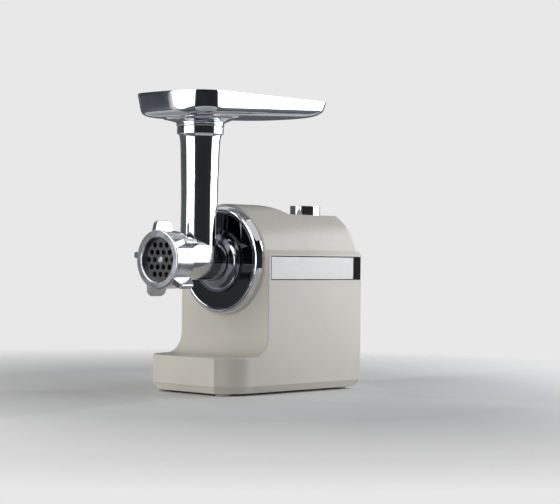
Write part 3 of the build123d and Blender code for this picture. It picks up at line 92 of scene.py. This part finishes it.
# ---------------------------------------------------------------- shader helpers
class Finish:
    """A node material under construction: one Principled shader and what feeds it."""

    def __init__(self, name, **sockets):
        """Takes the shader's sockets that hold one value all over, as Metallic=1.0."""
        self.material = bpy.data.materials.new(name)
        self.material.use_nodes = True
        self.tree = self.material.node_tree
        self.shader = self.tree.nodes["Principled BSDF"]
        self.normal = None
        for socket, value in sockets.items():
            self.shader.inputs[socket.replace("_", " ")].default_value = value

    def add(self, kind, **settings):
        """A node; settings that start with in_ are its sockets, fed by a value or a socket."""
        node = self.tree.nodes.new("ShaderNode" + kind)
        for key, value in settings.items():
            if key.startswith("in_"):
                self.feed(node.inputs[key[3:].replace("_", " ")], value)
            else:
                setattr(node, key, value)
        return node

    def feed(self, socket, value):
        """Links a socket to another one, or sets its value."""
        if isinstance(value, bpy.types.NodeSocket):
            self.tree.links.new(value, socket)
        else:
            socket.default_value = value

    def place(self, stretch=(1, 1, 1), shift=(0, 0, 0)):
        """Object coordinates in metres, scaled and moved."""
        where = self.add("TexCoord")
        mapping = self.add("Mapping", in_Vector=where.outputs["Object"])
        mapping.inputs["Scale"].default_value = stretch
        mapping.inputs["Location"].default_value = shift
        return mapping.outputs["Vector"]

    def noise(self, grain, detail=3.0, rough=0.5, stretch=(1, 1, 1)):
        """Noise with features about grain millimetres across."""
        node = self.add(
            "TexNoise",
            in_Vector=self.place(stretch),
            in_Scale=1.0 / (grain * mm),
            in_Detail=detail,
            in_Roughness=rough,
        )
        return node.outputs["Fac"]

    def waves(self, width, place, distortion, detail, **settings):
        """Light and dark bands or rings, each about width millimetres wide."""
        width_at_scale_1 = math.pi / 20
        node = self.add(
            "TexWave",
            in_Vector=place,
            in_Scale=width_at_scale_1 / (width * mm),
            in_Distortion=distortion,
            in_Detail=detail,
            **settings,
        )
        return node.outputs["Fac"]

    def span(self, value, low, high, from_low=0.3, from_high=0.7):
        """A value taken from one range to another, clamped."""
        node = self.add("MapRange", in_Value=value)
        for socket, number in zip(
            ("From Min", "From Max", "To Min", "To Max"), (from_low, from_high, low, high)
        ):
            node.inputs[socket].default_value = number
        return node.outputs["Result"]

    def blend(self, share, first, second):
        """Two colours mixed by a share."""
        node = self.add("Mix", data_type="RGBA")
        self.feed(node.inputs["Factor"], share)
        self.feed(node.inputs["A"], first)
        self.feed(node.inputs["B"], second)
        return node.outputs["Result"]

    def maths(self, operation, first, second):
        """Two values put together by a Math node's operation."""
        node = self.add("Math", operation=operation)
        self.feed(node.inputs[0], first)
        self.feed(node.inputs[1], second)
        return node.outputs[0]

    def round(self, radius):
        """Softens sharp edges in the shading over radius mm; returns a mask, 1 on the edges.

        The mask comes from how far the softened normal leans from the flat one.
        """
        soft = self.add("Bevel", samples=4, in_Radius=radius * mm).outputs["Normal"]
        flat = self.add("NewGeometry").outputs["Normal"]
        alike = self.add("VectorMath", operation="DOT_PRODUCT")
        self.feed(alike.inputs[0], soft)
        self.feed(alike.inputs[1], flat)
        self.normal = soft
        self.feed(self.shader.inputs["Normal"], soft)
        return self.span(alike.outputs["Value"], 1.0, 0.0, 0.86, 0.995)

    def bump(self, height, depth):
        """Adds a height map, its depth in millimetres, over the softened edges and earlier maps."""
        node = self.add("Bump", in_Height=height, in_Distance=depth * mm)
        self.feed(node.inputs["Normal"], self.normal)
        self.normal = node.outputs["Normal"]
        self.feed(self.shader.inputs["Normal"], self.normal)

    def colour(self, value):
        """Feeds the base colour."""
        self.feed(self.shader.inputs["Base Color"], value)

    def rough(self, value):
        """Feeds the roughness."""
        self.feed(self.shader.inputs["Roughness"], value)


def rgb(red, green, blue):
    """Display values of 0 to 255 as a linear colour."""
    def linear(value):
        value /= 255
        return value / 12.92 if value <= 0.04045 else ((value + 0.055) / 1.055) ** 2.4

    return (linear(red), linear(green), linear(blue), 1.0)


def darker(tone, share):
    """A colour brought down to a share of its brightness."""
    return tuple(c * share for c in tone[:3]) + (1.0,)


# ---------------------------------------------------------------- finishes
# Edge radii, grains, depths, waves and scratches are in mm.
# near-white painted onto the edges of moulded plastic: a painted highlight
painted_edge_highlight = rgb(250, 248, 241)


def moulded(name, light, dark, rough, edge, grain=0.9, depth=0.008, shine=0.4, highlight_share=0.3):
    """Satin moulded plastic: faint flow tint, fine grain and edges painted paler as a painted
    highlight.
    """
    f = Finish(name, Specular_IOR_Level=shine)
    mask = f.round(edge)
    flow = f.span(f.noise(60, detail=2), 0.0, 1.0)
    speck = f.span(f.noise(grain, detail=2), 0.0, 0.25)
    tint = f.blend(f.maths("ADD", flow, speck), light, dark)
    # the edges are blended towards near-white by the edge mask: a painted highlight
    f.colour(f.blend(f.maths("MULTIPLY", mask, highlight_share), tint, painted_edge_highlight))
    f.rough(f.span(f.noise(grain * 2), rough - 0.04, rough + 0.05))
    f.bump(f.noise(grain, rough=0.6), depth)
    return f.material


def metal(name, tone, rough, wave=0.0, scratch=0.01, edge=0.4, grain=14):
    """Polished metal: a faint unevenness from casting and fine polishing lines."""
    f = Finish(name, Metallic=1.0)
    mask = f.round(edge)
    haze = f.span(f.noise(grain * 1.7, detail=4, rough=0.6), 0.0, 1.0)
    f.colour(f.blend(f.maths("SUBTRACT", haze, mask), tone, darker(tone, 0.94)))
    f.rough(f.span(f.noise(grain, detail=4, rough=0.6), rough * 0.75, rough * 1.35))
    if wave:
        f.bump(f.noise(grain, detail=1.5), wave)
    f.bump(f.noise(0.35, detail=2, stretch=(1, 0.12, 1)), scratch)
    return f.material


def brushed(name, tone, along, rough, depth):
    """Sheet metal brushed in one direction, along which the noise is stretched."""
    f = Finish(name, Metallic=1.0)
    f.round(0.3)
    lines = f.noise(0.25, detail=2, rough=0.6, stretch=along)
    f.colour(f.blend(f.span(lines, 0.0, 1.0), tone, darker(tone, 0.95)))
    f.rough(f.span(lines, rough * 0.92, rough * 1.08))
    f.bump(lines, depth)
    return f.material


def ground(name, tone, rough):
    """Steel faced on a lathe: fine rings about the auger's axis."""
    f = Finish(name, Metallic=1.0)
    mask = f.round(0.25)
    ring_width = 0.5 * math.pi
    rings = f.waves(
        ring_width, f.place(shift=(0, 0, -axis_z)), 1.2, 3.0,
        wave_type="RINGS", rings_direction="Y",
    )
    stain = f.span(f.noise(9, detail=4, rough=0.6), 0.0, 0.7)
    f.colour(f.blend(f.maths("SUBTRACT", stain, mask), tone, darker(tone, 0.72)))
    f.rough(f.span(rings, rough * 0.85, rough * 1.2, 0, 1))
    f.bump(rings, 0.01)
    return f.material


def rubber(name, tone):
    """Matt rubber with fine pits."""
    f = Finish(name, Specular_IOR_Level=0.3)
    f.round(0.4)
    f.colour(f.blend(f.span(f.noise(4, detail=4), 0.0, 1.0), tone, darker(tone, 0.7)))
    f.rough(f.span(f.noise(2), 0.62, 0.78))
    f.bump(f.noise(0.5), 0.03)
    return f.material


def banded(name, light, dark, direction, width, rough, depth):
    """Metal in parallel bands, such as wound wire or stacked sheet."""
    f = Finish(name, Metallic=1.0)
    f.round(0.3)
    bands = f.waves(width, f.place(), 0.6, 1.0, bands_direction=direction)
    f.colour(f.blend(bands, dark, light))
    f.rough(f.span(f.noise(5), rough * 0.8, rough * 1.2))
    f.bump(bands, depth)
    return f.material


cream = {"light": rgb(213, 209, 200), "dark": rgb(206, 202, 192)}
body_cream = moulded("body_cream", **cream, rough=0.34, edge=0.9, highlight_share=0.8)
nut_cast = metal("nut_cast", rgb(208, 210, 215), 0.15, wave=0.05, scratch=0.006, edge=1.4)

finishes = {
    "cream_shell": moulded("cream_shell", **cream, rough=0.3, edge=1.2, highlight_share=0.7),
    "silver_trim": brushed("silver_trim", rgb(175, 174, 173), (1, 0.02, 1), 0.6, 0.002),
    "black_trim": moulded(
        "black_trim", rgb(16, 16, 18), rgb(11, 11, 13), 0.6, 0.3, shine=0.05, highlight_share=0.06
    ),
    "chrome_trim": metal("chrome_trim", rgb(214, 216, 220), 0.045, scratch=0.002),
    # tone set far darker than polished steel so that the disc's reflections stay dark: painted
    # shade
    "mirror_steel": metal("mirror_steel", rgb(94, 95, 98), 0.04, scratch=0.002, grain=25),
    # tone set darker than the other cast metal to stand in for the dark surroundings it reflects:
    # painted shade
    "cast_socket": metal("cast_socket", rgb(146, 149, 157), 0.11, wave=0.04),
    "polished_cast": metal(
        "polished_cast", rgb(216, 218, 222), 0.085, wave=0.05, scratch=0.006
    ),
    "pressed_tray": metal(
        "pressed_tray", rgb(206, 209, 215), 0.07, wave=0.03, scratch=0.004, grain=22
    ),
    "plate_steel": ground("plate_steel", rgb(80, 80, 82), 0.34),
    "knife_steel": ground("knife_steel", rgb(190, 191, 195), 0.2),
    "auger_metal": metal("auger_metal", rgb(214, 216, 220), 0.2, wave=0.1),
    "nylon": moulded("nylon", rgb(236, 233, 222), rgb(226, 222, 208), 0.4, 0.3),
    "foot_rubber": rubber("foot_rubber", rgb(188, 184, 172)),
    "screw_steel": metal("screw_steel", rgb(196, 197, 200), 0.24, grain=4),
    "gear_nylon": moulded("gear_nylon", rgb(232, 229, 216), rgb(220, 216, 200), 0.42, 0.2),
    "case_alloy": metal("case_alloy", rgb(176, 178, 182), 0.4, wave=0.05, grain=6),
    "bronze": metal("bronze", rgb(196, 160, 98), 0.34, grain=3),
    "shaft_steel": metal("shaft_steel", rgb(200, 201, 205), 0.16, grain=5),
    "lamination": banded(
        "lamination", rgb(150, 152, 156), rgb(96, 98, 104), "Y", 0.7, rough=0.4, depth=0.1
    ),
    "copper": banded(
        "copper", rgb(208, 124, 72), rgb(132, 66, 34), "X", 0.9, rough=0.28, depth=0.25
    ),
    "carbon": rubber("carbon", rgb(46, 46, 48)),
    "fan_plastic": moulded("fan_plastic", rgb(58, 58, 60), rgb(48, 48, 50), 0.45, 0.3),
    "switch_plastic": moulded("switch_plastic", rgb(54, 54, 56), rgb(44, 44, 46), 0.42, 0.3),
    "board": moulded(
        "board", rgb(46, 110, 70), rgb(34, 92, 58), 0.3, 0.2, grain=2.5, depth=0.03
    ),
    "board_parts": moulded("board_parts", rgb(70, 84, 120), rgb(52, 60, 90), 0.35, 0.3),
}


def dress_nodes():
    """Gives each CAD node the finish of its slot in the record."""
    for part in frame["record"]["subparts"]:
        surface = nodes[part["node"]].data
        surface.materials.clear()
        surface.materials.append(finishes[part["material_slot"]])
    nodes["lower_housing"].data.materials[0] = body_cream
    nodes["ring_nut"].data.materials[0] = nut_cast


# ---------------------------------------------------------------- pieces
def piece(name, verts, faces, slot, body, crease=38):
    """Mesh object in a slot's finish that rides on a CAD body; crease is in degrees."""
    mesh = bpy.data.meshes.new(name)
    mesh.from_pydata(verts, [], faces)
    shape = bmesh.new()
    shape.from_mesh(mesh)
    bmesh.ops.recalc_face_normals(shape, faces=shape.faces)
    shape.to_mesh(mesh)
    shape.free()
    mesh.shade_smooth()
    mesh.set_sharp_from_angle(angle=math.radians(crease))
    mesh.materials.append(finishes[slot])
    made = bpy.data.objects.new(name, mesh)
    bpy.context.scene.collection.objects.link(made)
    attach(made, body)
    return made


def joined_rings(rings):
    """Vertices and quads of closed rings, each joined to the next and the last to the first."""
    count = len(rings[0])
    verts = [point for ring in rings for point in ring]
    faces = []
    for i in range(len(rings)):
        low, high = i * count, (i + 1) % len(rings) * count
        for j in range(count):
            k = (j + 1) % count
            faces.append((low + j, low + k, high + k, high + j))
    return verts, faces


# ---- feed tray, all in mm but the floor's climb
# outside of the wall from rim to floor, as (inset, drop)
tray_wall = [
    (0.8, 0.0), (0.25, 0.12), (0.0, 0.7), (0.35, 4.0), (1.0, 9.0), (1.7, 14.0), (2.3, 18.0),
    (2.9, 21.2), (4.3, 24.0), (6.9, 26.2), (10.5, 27.8), (15.0, 28.8), (20.5, 29.5),
]
# outside of collar and spigot, as (radius, drop)
tray_collar = [
    (30.8, 36.9), (30.75, 38.0), (30.3, 38.4), (29.9, 38.8), (30.3, 39.2), (30.75, 39.5),
    (30.75, 40.2), (30.2, 40.6), (29.9, 41.08), (23.0, 41.08), (23.0, 60.6), (22.5, 61.1),
    (21.4, 61.1),
]
# inside of the spigot, from its step up to the floor
tray_mouth = [(21.4, 40.0), (21.6, 37.4), (23.4, 35.6)]
# inside of the rim, as (inset, drop)
tray_lip = [(1.6, 0.7), (1.35, 0.12)]
# shares of the way from the wall's foot to the collar
floor_steps = [0.12, 0.26, 0.4, 0.54, 0.66, 0.76, 0.84, 0.91, 0.96, 1.0]
tray_corner = 29.5      # radius of the rim's corners
tray_bow = 1.9          # how far the middle of the front side stands before its ends
bow_reach = 120         # distance behind the front side over which the bow fades
tray_sheet = 1.6        # thickness
floor_climb = 0.052     # rise of the floor towards the rear
climb_drop = 23.0       # drop from which the wall follows all of that climb
foot_pinch = 3.4        # how the wall's foot rises towards the tray's ends
dish_reach = 27         # width of the dip round the collar
collar_drop = 36.3
collar_r = 30.8
neck_ahead = 47.7       # the neck's axis, in front of the housing's wall
corner_points, side_points, end_points = 12, 26, 12


def bow_front(points):
    """The outline with its front side bowed outwards and its corners leaning back with it."""
    low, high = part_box("feed_tray")
    corner = tray_corner * mm
    straight = high.x - corner
    bowed = []
    for x, y in points:
        out = abs(x) / straight
        past = max(0.0, out - 1) * straight / corner
        lean = corner / straight * (2 * past - past ** 2)
        back_by = tray_bow * mm * (min(out, 1.0) ** 2 + lean)
        bowed.append((x, y + back_by * max(0.0, 1 - (y - low.y) / (bow_reach * mm))))
    return bowed


def tray_outline(inset, corner):
    """Points of the tray's rounded rectangle, set in by inset mm, its corner radius in mm."""
    low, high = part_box("feed_tray")
    x, front, back = high.x - inset * mm, low.y + inset * mm, high.y - inset * mm
    corner = corner * mm
    near, far = front + corner, back - corner
    # corner centre, its first angle, and the straight run after it with its points
    sides = (
        ((x - corner, near), -90, ((x, near), (x, far)), side_points),
        ((x - corner, far), 0, ((x - corner, back), (corner - x, back)), end_points),
        ((corner - x, far), 90, ((-x, far), (-x, near)), side_points),
        ((corner - x, near), 180, ((corner - x, front), (x - corner, front)), end_points),
    )
    points = []
    for centre, start, (first, last), steps in sides:
        for i in range(corner_points):
            a = math.radians(start + 90 * i / corner_points)
            points.append((centre[0] + corner * math.cos(a), centre[1] + corner * math.sin(a)))
        for i in range(steps):
            t = i / steps
            points.append(
                (first[0] + (last[0] - first[0]) * t, first[1] + (last[1] - first[1]) * t)
            )
    return bow_front(points)


def feed_tray_skin():
    """Pressed tray in one smooth skin: rim, bowed wall, dished floor, collar and spigot."""
    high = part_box("feed_tray")[1]
    neck_y = wall_y - neck_ahead * mm
    rim = tray_outline(0, tray_corner)

    def wall_ring(inset, drop, lift=0.0):
        """Ring of the wall; its foot climbs to the rear and a little towards the ends."""
        corner = tray_corner + inset * 0.5
        share = min(1.0, drop / climb_drop) ** 2
        ring = []
        for x, y in tray_outline(inset + lift, corner - lift * 0.5):
            pinch = foot_pinch * (abs(x) / high.x) ** 6 * share
            rise = floor_climb * (y - neck_y) / mm * share
            ring.append((x, y, high.z + (rise + pinch * 0.25 - drop + lift) * mm))
        return ring

    def floor_ring(t, lift=0.0):
        """Ring between the wall's foot and the collar, t from 0 to 1."""
        foot = wall_ring(*tray_wall[-1], lift)
        end = (collar_r - lift) * mm
        ring = []
        for x, y, z in foot:
            reach = math.hypot(x, y - neck_y)
            radius = reach + (end - reach) * t
            at_x, at_y = x / reach * radius, neck_y + (y - neck_y) / reach * radius
            flat = z + floor_climb * (at_y - y)
            # the floor stays nearly flat far out and dips like a dish by the collar
            dip = max(0.0, 1 - (radius - end) / (dish_reach * mm)) ** 1.5
            ring.append((at_x, at_y, flat + (high.z - (collar_drop - lift) * mm - flat) * dip))
        return ring

    def round_ring(radius, drop):
        """Round ring about the neck's axis with a point towards each of the rim's."""
        ring = []
        for x, y in rim:
            reach = math.hypot(x, y - neck_y)
            ring.append((
                x / reach * radius * mm,
                neck_y + (y - neck_y) / reach * radius * mm,
                high.z - drop * mm,
            ))
        return ring

    rings = [wall_ring(inset, drop) for inset, drop in tray_wall]
    rings += [floor_ring(t) for t in floor_steps]
    rings += [round_ring(radius, drop) for radius, drop in tray_collar + tray_mouth]
    rings += [floor_ring(t, tray_sheet) for t in reversed(floor_steps[:-1])]
    rings += [wall_ring(inset, drop, tray_sheet) for inset, drop in reversed(tray_wall[3:])]
    rings += [wall_ring(inset, drop) for inset, drop in tray_lip]
    skin = piece("feed_tray_skin", *joined_rings(rings), "pressed_tray", "tray", 50)
    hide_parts("feed_tray")


def bezel_skin():
    """Chrome bezel: narrow lip, tight rounded shoulder and an almost straight rim."""
    # section as (radius, distance in front of the wall) in mm
    profile = [
        (62.75, 0.0), (62.65, 10.2), (62.9, 10.6), (63.4, 10.8), (65.2, 10.8), (66.3, 10.55),
        (67.4, 9.95), (68.4, 9.1), (69.2, 8.0), (69.8, 6.7), (70.25, 5.4), (70.6, 4.0),
        (70.9, 2.6), (71.1, 1.4), (71.2, 0.5), (71.2, 0.0),
    ]
    steps = 128
    rings = []
    for radius, ahead in profile:
        ring = []
        for i in range(steps):
            a = 2 * math.pi * i / steps
            across, up = radius * mm * math.cos(a), radius * mm * math.sin(a)
            ring.append((across, wall_y - ahead * mm, axis_z + up))
        rings.append(ring)
    skin = piece("bezel_skin", *joined_rings(rings), "chrome_trim", "housing", 30)
    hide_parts("bezel_ring")


def head_saddle():
    """Squared upper half of the barrel under the neck, fading into the round shoulder."""
    barrel_r = 25.5             # mm
    proud, sunk = 0.06, -0.3    # mm outside the barrel, and inside it at the saddle's side edges
    first, sweep, steps = -12, 204, 60      # degrees over the top, and points less one
    edge_points = 2
    # (distance in front of the wall in mm, how square the saddle is there)
    spans = [
        (88.5, 1.0), (80.0, 1.0), (70.0, 1.0), (60.0, 1.0), (50.0, 1.0), (42.0, 0.97),
        (36.0, 0.85), (31.0, 0.62), (27.5, 0.36), (25.0, 0.15), (23.6, 0.0),
    ]
    verts = []
    for ahead, share in spans:
        power = 2 + 2.0 * share
        for i in range(steps + 1):
            a = math.radians(first + sweep * i / steps)
            c, t = abs(math.cos(a)), max(0.0, math.sin(a))
            reach = (c ** power + t ** power) ** (-1 / power) if math.sin(a) > 0 else 1.0
            over = proud if edge_points < i < steps - edge_points else sunk
            at = (barrel_r * reach + over) * mm
            verts.append((at * math.cos(a), wall_y - ahead * mm, axis_z + at * math.sin(a)))
    count = steps + 1
    faces = []
    for i in range(len(spans) - 1):
        for j in range(steps):
            k = i * count + j
            faces.append((k, k + 1, k + count + 1, k + count))
    piece("head_saddle", verts, faces, "polished_cast", "head", 60)


def plate_gap_shadow(side):
    """Thin black bead round a side plate, a painted shadow for the shade in the gap round it; side
    is 1 at the right and -1 at the left.
    """
    low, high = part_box("side_plate_right" if side > 0 else "side_plate_left")
    face = high.x if side > 0 else low.x
    width, rise, overlap = 1.15 * mm, 0.1 * mm, 0.2 * mm
    outer_root, inner_root = 1.2 * mm, 0.3 * mm     # how deep the bead's two sides go
    y0, y1 = low.y - overlap, high.y + overlap
    z0, z1 = low.z - overlap, high.z + overlap

    def loop(inset, level):
        """Rectangle set in from the bead's outside, level above the plate's face."""
        x = face + side * level
        return [
            (x, y0 + inset, z0 + inset), (x, y1 - inset, z0 + inset),
            (x, y1 - inset, z1 - inset), (x, y0 + inset, z1 - inset),
        ]

    rings = [
        loop(0, -outer_root), loop(0, rise * 0.4), loop(width * 0.25, rise),
        loop(width * 0.75, rise), loop(width, rise * 0.4), loop(width, -inner_root),
    ]
    name = "plate_gap_shadow_right" if side > 0 else "plate_gap_shadow_left"
    # black bead that paints the shadow in the plate's gap: painted shadow
    piece(name, *joined_rings(rings), "black_trim", "housing")


# ---------------------------------------------------------------- studio
eye_place = (1.57164, -1.6379, 0.17819)
yaw = math.radians(42.57)
pitch = math.radians(-0.11)
roll = math.radians(0.79)
lens = 110.75       # mm, on a sensor 36 mm wide


def camera():
    """Camera a little above the auger's axis height, right of the front corner."""
    back = Vector(
        (math.sin(yaw) * math.cos(pitch), -math.cos(yaw) * math.cos(pitch), math.sin(pitch))
    )
    across = Vector((0, 0, 1)).cross(back).normalized()
    up = back.cross(across)
    right = across * math.cos(roll) + up * math.sin(roll)
    top = up * math.cos(roll) - across * math.sin(roll)
    data = bpy.data.cameras.new("camera")
    data.lens = lens
    data.sensor_width = 36
    data.clip_end = 20
    eye = bpy.data.objects.new("camera", data)
    axes = Matrix((right, top, back)).transposed()
    eye.matrix_world = Matrix.Translation(eye_place) @ axes.to_4x4()
    bpy.context.scene.collection.objects.link(eye)
    bpy.context.scene.camera = eye


def facing(place, target):
    """Matrix of a lamp at a place that faces a target."""
    back = (Vector(place) - Vector(target)).normalized()
    turn = back.to_track_quat("Z", "Y")
    return Matrix.Translation(place) @ turn.to_matrix().to_4x4()


def around(azimuth, height, distance):
    """A place round the object's middle: azimuth 0 is in front of it and 90 at its right."""
    a = math.radians(azimuth)
    return object_mid + Vector((math.sin(a) * distance, -math.cos(a) * distance, height))


def lamp(name, azimuth, height, distance, wide, tall, power, tint):
    """Soft box that faces the object."""
    data = bpy.data.lights.new(name, "AREA")
    data.shape = "RECTANGLE"
    data.size = wide
    data.size_y = tall
    data.energy = power
    data.color = tint
    box = bpy.data.objects.new(name, data)
    box.matrix_world = facing(around(azimuth, height, distance), object_mid)
    box.visible_camera = False
    bpy.context.scene.collection.objects.link(box)


def flag(name, start, end, foot, reach, high, shade):
    """Dark studio cloth in an arc round the object, seen only in reflections.

    It runs from azimuth start to end, and rises from the radius foot at the floor to the
    radius reach at the height high.
    """
    steps = 24
    above_floor = 0.004
    verts = [
        around(start + (end - start) * i / steps, level - object_mid.z, radius)
        for level, radius in ((above_floor, foot), (high, reach))
        for i in range(steps + 1)
    ]
    faces = [(i, i + 1, steps + i + 2, steps + i + 1) for i in range(steps)]
    mesh = bpy.data.meshes.new(name)
    mesh.from_pydata(verts, [], faces)
    cloth = bpy.data.objects.new(name, mesh)
    paint = Finish(name, Roughness=1.0, Specular_IOR_Level=0.0)
    paint.colour(paint.blend(paint.noise(300), shade, darker(shade, 0.8)))
    cloth.data.materials.append(paint.material)
    cloth.visible_camera = False
    cloth.visible_diffuse = False
    cloth.visible_transmission = False
    cloth.visible_shadow = False
    bpy.context.scene.collection.objects.link(cloth)


def floor():
    """Pale floor that keeps the shadow and melts into the background further out."""
    reach, steps = 3.0, 64
    fade_start, fade_end = 0.4, 0.98    # distances from the frame's origin
    mesh = bpy.data.meshes.new("floor")
    rim = []
    for i in range(steps):
        a = 2 * math.pi * i / steps
        rim.append((object_mid.x + reach * math.cos(a), object_mid.y + reach * math.sin(a), 0))
    mesh.from_pydata(rim, [], [tuple(range(steps))])
    ground_plane = bpy.data.objects.new("floor", mesh)
    paint = Finish("floor", Roughness=0.65, Specular_IOR_Level=0.2)
    paint.colour(paint.blend(paint.noise(40), rgb(222, 222, 222), rgb(217, 217, 217)))
    away = paint.add("VectorMath", operation="LENGTH")
    paint.feed(away.inputs[0], paint.place())
    solid = paint.span(away.outputs["Value"], 1.0, 0.0, fade_start, fade_end)
    clear = paint.add("BsdfTransparent")
    mix = paint.add("MixShader")
    paint.feed(mix.inputs[0], solid)
    paint.feed(mix.inputs[1], clear.outputs[0])
    paint.feed(mix.inputs[2], paint.shader.outputs[0])
    out = paint.tree.nodes["Material Output"]
    paint.feed(out.inputs["Surface"], mix.outputs[0])
    ground_plane.data.materials.append(paint.material)
    bpy.context.scene.collection.objects.link(ground_plane)


def world():
    """Even pale background for camera, glossy and transmission rays, and a softer fill."""
    sky = bpy.data.worlds.new("studio")
    bpy.context.scene.world = sky
    sky.use_nodes = True
    tree = sky.node_tree
    tree.nodes.clear()

    def either(first, second):
        """1 where one of two sockets is 1."""
        node = tree.nodes.new("ShaderNodeMath")
        node.operation = "MAXIMUM"
        tree.links.new(first, node.inputs[0])
        tree.links.new(second, node.inputs[1])
        return node.outputs[0]

    def light(colour, strength):
        """A plain background of one colour."""
        node = tree.nodes.new("ShaderNodeBackground")
        node.inputs["Color"].default_value = colour
        node.inputs["Strength"].default_value = strength
        return node.outputs[0]

    ray = tree.nodes.new("ShaderNodeLightPath").outputs
    shown = either(ray["Is Camera Ray"], ray["Is Glossy Ray"])
    shown = either(shown, ray["Is Transmission Ray"])
    fill = light((0.95, 0.97, 1.0, 1.0), 0.065)
    pale = light(rgb(232, 232, 232), 1.0)
    pick = tree.nodes.new("ShaderNodeMixShader")
    for socket, source in zip(pick.inputs, (shown, fill, pale)):
        tree.links.new(source, socket)
    out = tree.nodes.new("ShaderNodeOutputWorld")
    tree.links.new(pick.outputs[0], out.inputs["Surface"])


dress_nodes()
feed_tray_skin()
bezel_skin()
head_saddle()
# black beads that paint the shadow in the gaps round both side plates
plate_gap_shadow(1)
plate_gap_shadow(-1)
camera()
floor()
world()

# name, azimuth, height, distance, width, height of the box, watts, tint
lamp("left_box", -12, 0.22, 1.0, 0.9, 0.8, 7.0, (1.0, 1.0, 0.99))
lamp("right_box", 148, 0.22, 0.95, 1.23, 0.8, 11.0, (0.945, 0.967, 1.0))
# behind the flags, so that it lights the left side without showing in the chrome
lamp("far_fill", -105, 0.45, 2.6, 1.2, 1.0, 17, (1.0, 1.0, 1.0))

# name, first and last azimuth, radius at the foot and at the top, height of the top, colour
flag("camera_side_flag", 13, 114, 0.75, 2.5, 2.0, (0.055, 0.055, 0.057, 1.0))
flag("left_flag", -179, -38, 0.9, 2.5, 1.6, (0.32, 0.33, 0.36, 1.0))
# flat cards in front of the lamps' feet, which keep the undersides of the chrome dark
card_grey = (0.2, 0.205, 0.22, 1.0)
edge_black = (0.03, 0.031, 0.034, 1.0)
flag("left_floor_card", -38, 13, 0.2, 0.8, 0.01, card_grey)
flag("left_floor_edge", -38, 13, 0.8, 0.96, 0.012, edge_black)
flag("right_floor_card", 114, 181, 0.2, 0.78, 0.01, card_grey)
flag("right_floor_edge", 114, 181, 0.78, 0.92, 0.012, edge_black)
bpy.context.scene.view_settings.view_transform = "Standard"
